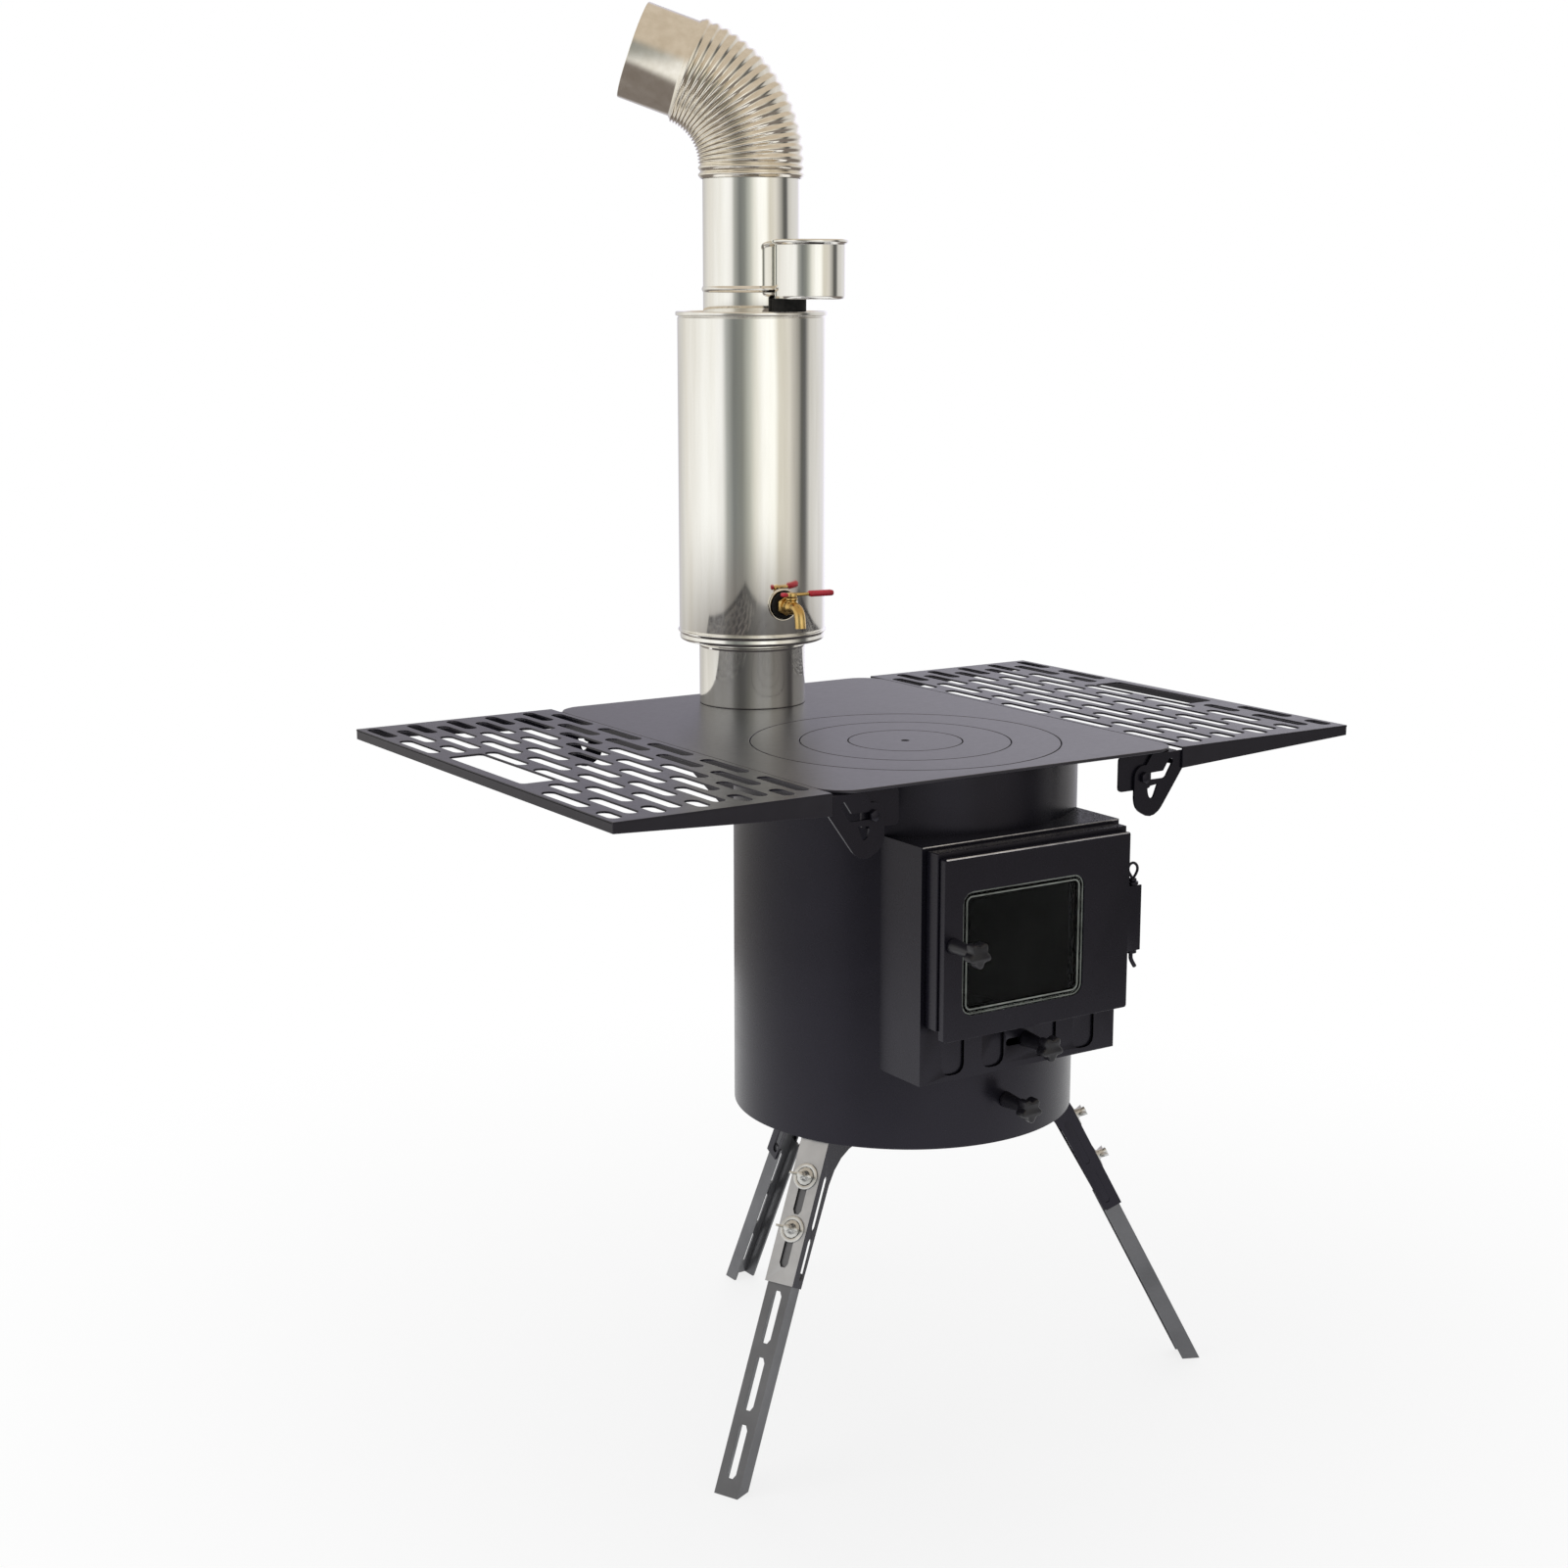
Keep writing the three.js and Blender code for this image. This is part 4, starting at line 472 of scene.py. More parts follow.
drumPiece = place(drumShell(), "drumShellRolled", "stove_frame", "black_steel", "blackCoat", ["drum_shell"], 40,
                  True)
# the drum's inner faces take the near-black soot tone and painted shade
secondLook(drumPiece, "sootAndShadeIron",
           lambda middle, normal: middle.xy.length < drum["darkInsideWall"] and middle.xy.dot(normal.xy) <= 0)
basePiece = placeSoftened("drum_base", 0.5, "drumBasePan", "stove_frame", "black_steel", "blackCoat", 40, True)
# the base's inner floor takes the near-black soot tone and painted shade
secondLook(basePiece, "sootAndShadeIron",
           lambda middle, normal: normal.z > 0.9 and middle.xy.length < drum["darkInsideBase"])

# ---- fire grate and riddle ----

print("stove: grate and riddle")
# the grate inside the firebox is near-black: soot tone and painted shade
placeSoftened("fire_grate", 0.7, "fireGrateCast", "stove_frame", "grate_iron", "sootAndShadeIron")
placeSoftened("riddle_plate", 0.5, "riddlePlateCut", "riddle", "grate_iron", "grateIron")
placeSoftened("riddle_rod", 0.3, "riddlePullRod", "riddle", "zinc", "zincPlate")

# ---- door housing, frame and hinge ears ----

print("stove: door housing")
housing = {"top": 593, "front": -183, "inside": 111.2, "highlightProud": 0.12, "highlightWidth": 1.3, "highlightEase": 0.45}
housingPiece = placeSoftened("door_housing", 0.9, "doorHousingFolded", "stove_frame", "black_steel", "blackCoat", 15,
                             segments=3)
# the housing's inner faces take the near-black soot tone and painted shade
secondLook(housingPiece, "sootAndShadeIron", lambda middle, normal: abs(middle.x) < housing["inside"]
           and middle.y > housing["front"] + 0.9 and middle.z < housing["top"] - 1.5)


def paintedHighlightStrip(halfWidth, top, face):  # a bright bare-metal strip along a fold's top edge: a painted highlight line, put only on top edges where the glint of the light falls
    proud, width = housing["highlightProud"], housing["highlightWidth"]
    return easedBox(-halfWidth, halfWidth, face - proud, face + width, top - width, top + proud, housing["highlightEase"])


# painted highlight strip along the housing's top front edge
place(paintedHighlightStrip(housing["inside"] + 1, housing["top"], housing["front"]), "housingEdgePaintedHighlight", "stove_frame",
      "black_steel", "paintedHighlightEdge")
placeSoftened("door_frame", 0.75, "doorFrameFolded", "stove_frame", "black_steel", "blackCoat", 15, segments=3)
placeSoftened("hinge_ears", 0.45, "hingeEarsBent", "stove_frame", "black_steel", "blackCoat", 40, True)
placeSoftened("air_shutter", 0.35, "airShutterPlate", "shutter", "black_steel", "blackCoat", 40, True)

# ---- door ----

print("stove: door")
door = {
    "halfWidth": 106, "high": 586, "face": -208.2, "wall": 2,
    "window": (-85.5, 52.5, 440, 554), "windowCorner": 11, "lips": [(0.4, 1.3), (4.4, 1.5)], "lipHeight": 1.0,
}
placeSoftened("door_panel", 1.1, "doorPanelPressed", "door", "black_steel", "blackCoat", 15, segments=3)
# painted highlight strip along the door's top edge
place(paintedHighlightStrip(door["halfWidth"] - 1.5, door["high"], door["face"]), "doorEdgePaintedHighlight", "door", "black_steel",
      "paintedHighlightEdge")
placeSoftened("glass_retainer", 0.35, "glassRetainerStepped", "door", "zinc", "zincPlate", 40, True)
placeSoftened("door_gasket", 0.9, "doorSealRope", "door", "rope_seal", "wovenSeal", 40, True)


def windowPane():
    x0, x1, z0, z1 = door["window"]
    outline = rectangleLoop(x0 - 3, x1 + 3, z0 - 3, z1 + 3, door["windowCorner"] + 3, 12)
    pane = flatSheet(outline, [], 3, 0.8)
    return moved(pane, standingAt(door["face"] + door["wall"] + 0.3 + 3))


def windowBevels():
    # the pane's two ground steps, just inside the opening, drawn as opaque pale lips: partly the ground glass's own
    # tone, partly a painted highlight, making a double pale line
    x0, x1, z0, z1 = door["window"]
    lips = []
    for inset, width in door["lips"]:
        outer = rectangleLoop(x0 + inset, x1 - inset, z0 + inset, z1 - inset, door["windowCorner"] - inset, 12)
        far = inset + width
        inner = rectangleLoop(x0 + far, x1 - far, z0 + far, z1 - far, door["windowCorner"] - far, 12)
        lips.append(flatSheet(outer, [inner], door["lipHeight"], 0.4))
    return moved(joined(*lips), standingAt(door["face"] + door["wall"] + 0.35))


place(windowPane(), "windowPaneGround", "door", "window", "windowGlass", ["window_glass"], 50, True)
place(windowBevels(), "windowPaneBevels", "door", "window", "groundEdgeAndGlint", (), 60)

# ---- star knobs, latch and hinge pin ----

print("stove: knobs and latch")
knob = {"radius": 12, "lobe": 1.9, "lobes": 5, "thickness": 12, "reach": 40, "stemTip": 5.5, "stemRoot": 7.5,
        "ease": 1.7, "atDoor": (-96, -208.7, 507), "atShutter": (8, -183.5, 398), "atRiddle": (0, -165.5, 336)}


def starKnob(x, y, z):
    steps = 100
    loop = []
    for i in range(steps):
        turn = 2 * math.pi * i / steps
        radius = knob["radius"] - knob["lobe"] + knob["lobe"] * math.cos(knob["lobes"] * turn + math.pi)
        loop.append((radius * math.sin(-turn), radius * math.cos(turn)))
    head = flatSheet(loop, [], knob["thickness"], knob["ease"])
    moved(head, Matrix.Translation((0, 0, knob["reach"] - knob["thickness"])))
    face = turnedShape([(0, knob["reach"] - 0.2), (5.2, knob["reach"] - 0.2), (5.8, knob["reach"] - 0.9),
                        (0, knob["reach"] - 0.9)], 40, 0.15)
    neck = knob["reach"] - knob["thickness"]
    stem = turnedShape([(3.4, 0), (knob["stemRoot"], 0), (knob["stemRoot"] - 0.4, 4), (knob["stemTip"], neck - 4),
                        (knob["stemTip"] + 0.9, neck + 0.5), (3.4, neck + 0.5)], 48, 0.5)
    return moved(joined(head, face, stem), Matrix.Translation((x, y, z)) @ alongY)


place(starKnob(*knob["atDoor"]), "doorKnobStar", "latch", "knob_plastic", "knobMoulding", ["door_knob"], 45)
place(starKnob(*knob["atShutter"]), "airKnobStar", "shutter", "knob_plastic", "knobMoulding", ["air_knob"], 45)
place(starKnob(*knob["atRiddle"]), "riddleKnobStar", "riddle", "knob_plastic", "knobMoulding", ["riddle_knob"], 45)
placeSoftened("latch_bar", 0.4, "latchBarTurned", "latch", "zinc", "zincPlate")

hinge = {"x": 114.5, "y": -202.8, "low": 471.5, "high": 534.5, "pin": 2, "wire": 1.3, "turn": -0.58}


def hingePin():
    curve = bpy.data.curves.new("pinWire", "CURVE")
    curve.dimensions = "3D"
    curve.bevel_depth = hinge["pin"]
    curve.bevel_resolution = 4
    curve.use_fill_caps = True
    low = hinge["low"] - 2.5
    route = [(0, 0, hinge["high"] + 6), (0, 0, low - 3), (0.2, 0, low - 6), (2.4, 0, low - 10), (5.2, 0, low - 14)]
    spline = curve.splines.new("NURBS")
    spline.points.add(len(route) - 1)
    spline.use_endpoint_u = True
    spline.order_u = 3
    for point, (x, y, z) in zip(spline.points, route):
        point.co = (x, y, z, 1)
    loop = curve.splines.new("NURBS")
    steps = 12
    loop.points.add(steps - 1)
    loop.use_cyclic_u = True
    for i, point in enumerate(loop.points):
        turn = 2 * math.pi * i / steps
        side = 4.2 * math.cos(turn)
        height = 7.4 * math.sin(turn)
        side *= 1.15 if height > 0 else 1.0 + height / 14
        point.co = (side * math.cos(hinge["turn"]), side * math.sin(hinge["turn"]), hinge["high"] + 13 + height, 1)
        point.radius = hinge["wire"] / hinge["pin"]
    collar = turnedShape([(0, hinge["high"] + 2.8), (3.6, hinge["high"] + 2.8), (3.6, hinge["high"] + 5.5),
                          (0, hinge["high"] + 5.5)], 40, 0.5)
    return moved(merged(joined(meshedCurve(curve), collar)), Matrix.Translation((hinge["x"], hinge["y"], 0)))


place(hingePin(), "hingePinWire", "stove_frame", "black_steel", "blackCoat", ["hinge_pin"], 60)

# ---- smoke duct and flue collar ----

print("stove: smoke duct")
placeSoftened("smoke_duct", 0.7, "smokeDuctFolded", "stove_frame", "black_steel", "blackCoat", 40, True, segments=3)
atFlue = Matrix.Translation((0, flueY, 0))
place(moved(turnedShape([(52.3, 644.7), (58.9, 644.7), (58.9, 646.7), (53.9, 646.7), (53.9, 680), (52.3, 680)], 72,
                        0.3), atFlue), "flueCollarTurned", "stove_frame", "black_steel", "blackCoat",
      ["flue_collar"])

# ---- chimney ----

print("stove: chimney")
chimney = {
    "sleeve": 55, "wall": 0.8, "tankBottom": 717, "tankTop": 1052, "tank": 75.5, "seam": 727,
    "upper": 49, "upperTop": 1194, "bead": 1074, "steps": 128, "smokePipe": (45.5, 46.5, 705, 1064),
}


def flueSleeve():
    outer = chimney["sleeve"]
    inner = outer - chimney["wall"]
    top = chimney["tankBottom"] - 0.3
    profile = [(inner, 650.3), (outer, 650.3), (outer, 652), (outer, top - 7), (outer + 0.9, top - 5),
               (outer, top - 3), (outer, top), (inner, top)]
    return moved(turnedShape(profile, 96, 0.3), atFlue)


def waterTank():
    radius = chimney["tank"]
    low = chimney["tankBottom"]
    high = chimney["tankTop"]
    seam = chimney["seam"]
    profile = [
        (46.8, low), (52.2, low), (52.2, low - 12), (53.2, low - 12), (53.2, low), (radius - 3, low),
        (radius - 0.9, low + 1.2), (radius - 0.4, low + 3), (radius - 0.6, seam - 3.4), (radius - 0.2, seam - 1.8),
        (radius + 1.5, seam - 0.8), (radius + 1.5, seam + 0.4), (radius - 0.9, seam + 1.0), (radius - 0.9, seam + 2.0),
        (radius, seam + 2.6), (radius, high - 6.4), (radius - 0.8, high - 5.8), (radius - 0.8, high - 5.0),
        (radius + 1.8, high - 4.2), (radius + 2, high - 2),
        (radius + 1.6, high - 0.4), (radius + 0.4, high), (radius - 0.8, high - 0.6), (radius - 1.8, high - 2),
        (46.8, high - 2),
    ]
    return moved(turnedShape(profile, chimney["steps"], 0.25), atFlue)


def upperPipe():
    outer = chimney["upper"]
    inner = outer - chimney["wall"]
    low = chimney["tankTop"] - 1.7
    bead = chimney["bead"]
    profile = [(inner, low), (outer, low), (outer, bead - 3.2), (outer + 0.9, bead - 1.6), (outer + 1.5, bead),
               (outer + 0.9, bead + 1.6), (outer, bead + 3.2), (outer, chimney["upperTop"]),
               (inner, chimney["upperTop"])]
    return moved(turnedShape(profile, 112, 0.5), atFlue)


place(flueSleeve(), "flueSleeveRolled", "stove_frame", "stainless", "stainlessSheet", ["flue_sleeve"], 50)
place(waterTank(), "waterTankRolled", "stove_frame", "stainless", "stainlessSheet", ["water_tank"], 50)
bore, outside, pipeFoot, pipeTop = chimney["smokePipe"]
smokePipe = turnedShape([(bore, pipeFoot), (outside, pipeFoot), (outside, pipeTop), (bore, pipeTop)], 72, 0.2)
place(moved(smokePipe, atFlue), "smokePipeInner", "stove_frame", "stainless", "stainlessSheet", ["smoke_pipe"], 50)
place(upperPipe(), "upperPipeRolled", "stove_frame", "stainless", "stainlessSheet", ["upper_pipe"], 50)

# ---- filler cup ----

print("stove: filler cup")
cup = {"angle": 9, "reach": 88, "neckReach": 61, "radius": 35, "bottom": 1064.3, "height": 58, "bead": 3.2}


def aroundFlue(angle, reach):
    turn = math.radians(angle)
    return reach * math.sin(turn), flueY - reach * math.cos(turn)


def fillerCup():
    low = cup["bottom"]
    high = low + cup["height"]
    radius = cup["radius"]
    lip = radius + cup["bead"]
    profile = [(0, low), (radius - 3, low), (radius - 0.9, low + 0.8), (radius, low + 3), (radius, high - 5.2),
               (radius + 0.8, high - 4.4), (lip - 0.6, high - 3.6), (lip, high - 2.4), (lip - 0.3, high - 0.9),
               (lip - 1.4, high), (radius + 0.4, high - 0.3), (radius - 1, high - 1.4), (radius - 1, low + 3.4),
               (radius - 3.2, low + 1), (0, low + 1)]
    bowl = turnedShape(profile, 96, 0.3, closed=False)
    x, y = aroundFlue(cup["angle"], cup["reach"])
    moved(bowl, Matrix.Translation((x, y, 0)))
    neck = turnedShape([(8.8, 1044), (10, 1044), (10, low + 0.5), (8.8, low + 0.5)], 40, 0.2)
    x, y = aroundFlue(cup["angle"], cup["neckReach"])
    moved(neck, Matrix.Translation((x, y, 0)))
    return joined(bowl, neck)


place(fillerCup(), "fillerCupSpun", "stove_frame", "stainless", "stainlessSheet", ["filler_cup"], 50)
placeSoftened("filler_gasket", 1.2, "fillerGasketMoulded", "stove_frame", "black_rubber", "blackRubber", 45, True,
              segments=3)

# ---- corrugated elbow ----

print("stove: elbow")
elbow = {
    "start": 1197, "collar": 14, "bend": 70, "radius": 98, "ribs": 17, "peak": 53.4, "valley": 51,
    "cuff": 48.6, "cuffLength": 56, "wall": 0.8, "angle": 147, "sides": 72, "perRib": 8,
}


def elbowPlace(distance):
    # where the centre line is at a distance along it, with the section's plane square to it
    full = math.radians(elbow["bend"])
    turn = min(max(distance / elbow["radius"], 0), full)
    past = distance - turn * elbow["radius"]
    x = elbow["radius"] * (1 - math.cos(turn)) + past * math.sin(turn)
    z = elbow["radius"] * math.sin(turn) + past * math.cos(turn)
    return Matrix.Translation((x, 0, z)) @ Matrix.Rotation(turn, 4, "Y")


def elbowSections():
    length = elbow["radius"] * math.radians(elbow["bend"])
    pitch = length / elbow["ribs"]
    depth = elbow["peak"] - elbow["valley"]
    sections = []
    collarRibs = 2
    total = collarRibs + elbow["ribs"]
    for i in range(total * elbow["perRib"] + 1):
        share = i / elbow["perRib"]
        rise = 0.5 - 0.5 * math.cos(2 * math.pi * share)
        radius = elbow["valley"] + depth * rise ** 0.75
        if share < collarRibs:
            distance = -elbow["collar"] + share * elbow["collar"] / collarRibs
        else:
            distance = (share - collarRibs) * pitch
        sections.append((distance, radius))
    end = length + elbow["cuffLength"]
    sections += [(length + 1.2, elbow["valley"] - 1.2), (length + 2.4, elbow["cuff"]), (end - 0.5, elbow["cuff"]),
                 (end, elbow["cuff"] - 0.3)]
    inner = elbow["cuff"] - elbow["wall"]
    sections += [(end, inner)]
    sections += [(length * step / 10, inner) for step in range(10, -1, -1)]
    sections += [(-1, 49.9), (-elbow["collar"], 49.9)]
    return sections


def elbowShape():
    shape = bmesh.new()
    sides = elbow["sides"]
    rings = []
    for distance, radius in elbowSections():
        ring = [shape.verts.new((x, y, 0)) for x, y in circleLoop(0, 0, radius, sides)]
        bmesh.ops.transform(shape, verts=ring, matrix=elbowPlace(distance))
        rings.append(ring)
    for ring, following in zip(rings, rings[1:] + rings[:1]):
        for i in range(sides):
            ahead = (i + 1) % sides
            shape.faces.new((ring[i], ring[ahead], following[ahead], following[i]))
    bmesh.ops.recalc_face_normals(shape, faces=shape.faces[:])
    turn = Matrix.Rotation(math.radians(elbow["angle"]), 4, "Z")
    return moved(shape, Matrix.Translation((0, flueY, elbow["start"])) @ turn)


place(elbowShape(), "elbowCorrugated", "elbow_body", "stainless", "stainlessElbow", ["elbow"], 60)

# ---- tap ----

print("stove: tap")
tap = {"angle": -8, "z": 760, "face": 75.8, "nut": 10, "reach": 24, "spout": 5.5, "leverLength": 46,
       "plateDepth": 4.8, "stemInset": 8, "leverRise": 10.3}
atTap = Matrix.Translation((0, flueY, 0)) @ Matrix.Rotation(math.radians(tap["angle"]), 4, "Z")


def outOfTank(shape, reach):  # turned shapes that point out of the tank, starting at a distance from its axis
    return moved(shape, atTap @ Matrix.Translation((0, -reach, tap["z"])) @ alongY)


place(outOfTank(turnedShape([(6.5, 0), (15, 0), (16, 0.8), (16, 2.2), (14.8, 2.2), (14, 1.2), (6.5, 1.2)], 64, 0.3),
                tap["face"]), "tapDishSpun", "stove_frame", "stainless", "stainlessElbow", ["tap_dish"], 50)
place(outOfTank(turnedShape([(6.5, 1.5), (13.5, 1.5), (13.5, 4.5), (6.5, 4.5)], 64, 0.8), tap["face"]),
      "tapWasherMoulded", "stove_frame", "black_rubber", "blackRubber", ["tap_washer"], 50)


def stemReach():  # how far in front of the tank's axis the tap's spindle stands
    return tap["face"] + tap["plateDepth"] + tap["reach"] - tap["stemInset"]


def tapBody():
    face = tap["face"] + tap["plateDepth"]
    nut = bmesh.new()
    bmesh.ops.create_cone(nut, cap_ends=True, segments=6, radius1=tap["nut"], radius2=tap["nut"], depth=5)
    bmesh.ops.bevel(nut, geom=nut.edges[:], offset=0.7, offset_type="OFFSET", segments=2, profile=0.5,
                    affect="EDGES", clamp_overlap=True, material=-1)
    outOfTank(nut, face + 2.5)
    barrel = outOfTank(turnedShape([(0, -10), (5.4, -10), (5.4, 6), (6.6, 7), (6.6, 9), (5.2, 10), (5.2, 24),
                                    (0, 24)], 40, 0.4, closed=False), face)
    middle = stemReach()
    stem = moved(turnedShape([(0, -6), (6.2, -5), (6.2, 4), (5.2, 5), (5.2, 7), (6, 7.6), (6, 9.6), (0, 9.7)], 40,
                             0.4, closed=False), atTap @ Matrix.Translation((0, -middle, tap["z"])))
    ball = bmesh.new()
    bmesh.ops.create_uvsphere(ball, u_segments=32, v_segments=16, radius=7.6)
    moved(ball, atTap @ Matrix.Translation((0, -middle, tap["z"])))
    curve = bpy.data.curves.new("spout", "CURVE")
    curve.dimensions = "3D"
    curve.bevel_depth = tap["spout"]
    curve.bevel_resolution = 6
    curve.use_fill_caps = True
    spline = curve.splines.new("NURBS")
    reach = face + tap["reach"]
    route = [(0, -reach + 6, 0), (0, -reach - 1, 0.4), (0, -reach - 9, -0.6), (0, -reach - 12, -8),
             (0, -reach - 13, -19)]
    spline.points.add(len(route) - 1)
    spline.use_endpoint_u = True
    spline.order_u = 4
    for point, (x, y, z) in zip(spline.points, route):
        point.co = (x, y, z + tap["z"], 1)
    spout = moved(merged(meshedCurve(curve)), atTap)
    return joined(nut, barrel, stem, ball, spout)


def tapLever():
    middle = stemReach()
    z0 = tap["z"] + tap["leverRise"]
    boss = moved(turnedShape([(0, 0), (5.5, 0), (5.5, 4), (3, 4.6), (0, 4.6)], 40, 0.4, closed=False),
                 Matrix.Translation((0, -middle, z0)))
    arm = easedBox(-9, tap["leverLength"] * 0.4, -middle - 3.5, -middle + 3.5, z0 + 1, z0 + 4, 0.7)
    tongue = easedBox(tap["leverLength"] * 0.3, tap["leverLength"] - 3, -middle - 2, -middle + 2, z0 + 1.5,
                      z0 + 3.5, 0.3)
    return moved(joined(boss, arm, tongue), atTap)


def tapGrip():
    middle = stemReach()
    z0 = tap["z"] + tap["leverRise"]
    sleeve = easedBox(tap["leverLength"] * 0.4 + 0.3, tap["leverLength"], -middle - 4.5, -middle + 4.5, z0 - 0.4,
                      z0 + 5.4, 2.2)
    stub = easedBox(-11, -5, -middle - 4.2, -middle + 4.2, z0 + 0.6, z0 + 4.6, 1.4)
    return moved(joined(sleeve, stub), atTap)


place(tapBody(), "tapBodyCast", "stove_frame", "brass", "castBrass", ["tap_body"], 50)
place(tapLever(), "tapLeverCast", "tap_handle", "brass", "castBrass", ["tap_lever"], 50)
place(tapGrip(), "tapGripSleeve", "tap_handle", "red_grip", "redSleeve", ["tap_grip"], 60)

# ---- shelves ----

print("stove: shelves")
shelf = {
    "inner": 200.5, "reach": 216, "front": -171, "back": 344, "top": 650, "sheet": 2, "columns": 10,
    "pitch": 21.3, "slotWidth": 13, "slotLength": 74, "slotPitch": 97, "rearMargin": 8, "frontMargin": 13, "slide": 22,
    "handleLength": 150, "handleWidth": 35, "handleMargin": 11, "handleClear": 14, "outerDepth": 10,
    "innerDepth": 20.5,
}


def shelfSlots():
    fieldFront = shelf["front"] + shelf["frontMargin"]
    fieldBack = shelf["back"] - shelf["rearMargin"]
    outer = shelf["inner"] + shelf["reach"]
    middle = (shelf["front"] + shelf["back"]) / 2
    handleLow = middle - shelf["handleLength"] / 2
    handleHigh = middle + shelf["handleLength"] / 2
    handleInner = outer - shelf["handleMargin"] - shelf["handleWidth"]
    holes = [rectangleLoop(handleInner, outer - shelf["handleMargin"], handleLow, handleHigh, 5, 6)]
    firstColumn = shelf["inner"] + (shelf["reach"] - (shelf["columns"] - 1) * shelf["pitch"]) / 2
    shift = shelf["slotLength"] - (shelf["slotPitch"] - shelf["slotLength"]) / 2 - shelf["slotPitch"] / 8
    for i in range(shelf["columns"]):
        x = firstColumn + i * shelf["pitch"]
        meetsHandle = x + shelf["slotWidth"] / 2 > handleInner - 2
        start = fieldBack - shelf["slide"] + (0 if i % 2 == 0 else shift - shelf["slotWidth"] / 2)
        while start > fieldFront:
            high = min(start, fieldBack)
            low = max(start - shelf["slotLength"], fieldFront)
            runs = [(low, high)]
            if meetsHandle:
                runs = [(low, min(high, handleLow - shelf["handleClear"])),
                        (max(low, handleHigh + shelf["handleClear"]), high)]
            for a, b in runs:
                if b - a > shelf["slotWidth"] + 4:
                    holes.append(slotLoop(x, a, b, shelf["slotWidth"]))
            start -= shelf["slotPitch"]
    return holes


def shelfGrille():
    inner = shelf["inner"]
    outer = inner + shelf["reach"]
    top = shelf["top"]
    thick = shelf["sheet"]
    outline = [(inner, shelf["front"]), (outer, shelf["front"]), (outer, shelf["back"]), (inner, shelf["back"])]
    sheet = moved(flatSheet(outline, shelfSlots(), thick, 0.45), Matrix.Translation((0, 0, top - thick)))
    cheek = [(inner, top - shelf["innerDepth"]), (outer - 0.4, top - shelf["outerDepth"]), (outer - 0.4, top - 0.6),
             (inner, top - 0.6)]
    front = moved(flatSheet(cheek, [], thick, 0.4), standingAt(shelf["front"] + thick))
    back = moved(flatSheet(cheek, [], thick, 0.4), standingAt(shelf["back"]))
    side = easedBox(outer - thick, outer, shelf["front"] + 0.3, shelf["back"] - 0.3, top - shelf["outerDepth"],
                    top - 0.6, 0.4)
    return joined(sheet, front, back, side)


rightShelf = shelfGrille()
leftShelf = mirroredCopy(rightShelf)
place(rightShelf, "rightShelfGrille", "right_shelf_body", "black_steel", "shelfCoat", ["right_shelf"], 40, True)
place(leftShelf, "leftShelfGrille", "left_shelf_body", "black_steel", "shelfCoat", ["left_shelf"], 40, True)

for side in ("right", "left"):
    for end in ("front", "rear"):
        placeSoftened(f"{side}_{end}_arm", 0.5, f"{side}{end.title()}ArmCut", f"{side}_shelf_body", "black_steel",
                      "blackCoat", 40, True)
        placeSoftened(f"{side}_{end}_pivot_bolt", 0.35, f"{side}{end.title()}PivotBolt", "stove_frame", "zinc",
                      "blackCoat")
    placeSoftened(f"{side}_bracket", 0.5, f"{side}BracketFolded", "stove_frame", "black_steel", "blackCoat", 40, True)

# ---- legs ----

print("stove: legs")
legs = {
    "turns": {"left": -66, "right": 66, "rear": 180}, "slope": 27.5, "attach": 160, "boltDrops": (36, 86),
    "washer": 12.4, "washerHole": 8.8, "washerThickness": 1.1, "washerGap": 0.3,
    "liner": (-19.3, -1, -14.5, -13.9, -136, -22),
}


def legPlace(turn):  # x points out of the leg's face, y round the stove, z up along the leg
    around = math.radians(turn)
    slope = math.radians(legs["slope"])
    radial = Vector((math.sin(around), -math.cos(around), 0))
    aside = Vector((math.cos(around), math.sin(around), 0))
    up = Vector((0, 0, 1))
    outward = radial * math.cos(slope) + up * math.sin(slope)
    along = up * math.cos(slope) - radial * math.sin(slope)
    pose = Matrix((outward, aside, along)).transposed().to_4x4()
    pose.translation = radial * legs["attach"] + up * drum["bottom"]
    return pose


def boltWasher(turn, drop):
    inner, outer = legs["washerHole"], legs["washer"]
    low = legs["washerGap"]
    high = low + legs["washerThickness"]
    washer = turnedShape([(inner, low), (outer, low), (outer, high), (inner, high)], 48, 0.35)
    moved(washer, Matrix.Rotation(math.radians(90), 4, "Y"))
    return moved(washer, legPlace(turn) @ Matrix.Translation((0, 0, -drop)))


for leg, turn in legs["turns"].items():
    face = legPlace(turn).to_3x3().col[0]
    socketPiece = placeSoftened(f"{leg}_leg_socket", 0.5, f"{leg}LegSocketPressed", "stove_frame", "black_steel",
                                "blackCoat", 15)
    # the socket's outward faces below the drum take the bright look, a painted glare
    secondLook(socketPiece, "socketGlareFace",
               lambda middle, normal: normal.dot(face) > 0.8 and middle.z < drum["bottom"] - 5)
    if leg == "right":
        liner = moved(easedBox(*legs["liner"], 0.1), legPlace(turn))
        place(liner, "rightSocketLiner", "stove_frame", "black_steel", "blackCoat")
    for drop, level in zip(legs["boltDrops"], ("upper", "lower")):
        place(boltWasher(turn, drop), f"{leg}{level.title()}Washer", f"{leg}_leg_body", "zinc", "zincPlate", (), 50)
    placeSoftened(f"{leg}_leg", 0.5, f"{leg}LegChannel", f"{leg}_leg_body", "leg_steel", "legCoat", 15)
    for level in ("upper", "lower"):
        placeSoftened(f"{leg}_{level}_wing_bolt", 0.4, f"{leg}{level.title()}WingNut", f"{leg}_leg_body", "zinc",
                      "zincPlate", 45)

# ---- floor, lamps, world and camera ----

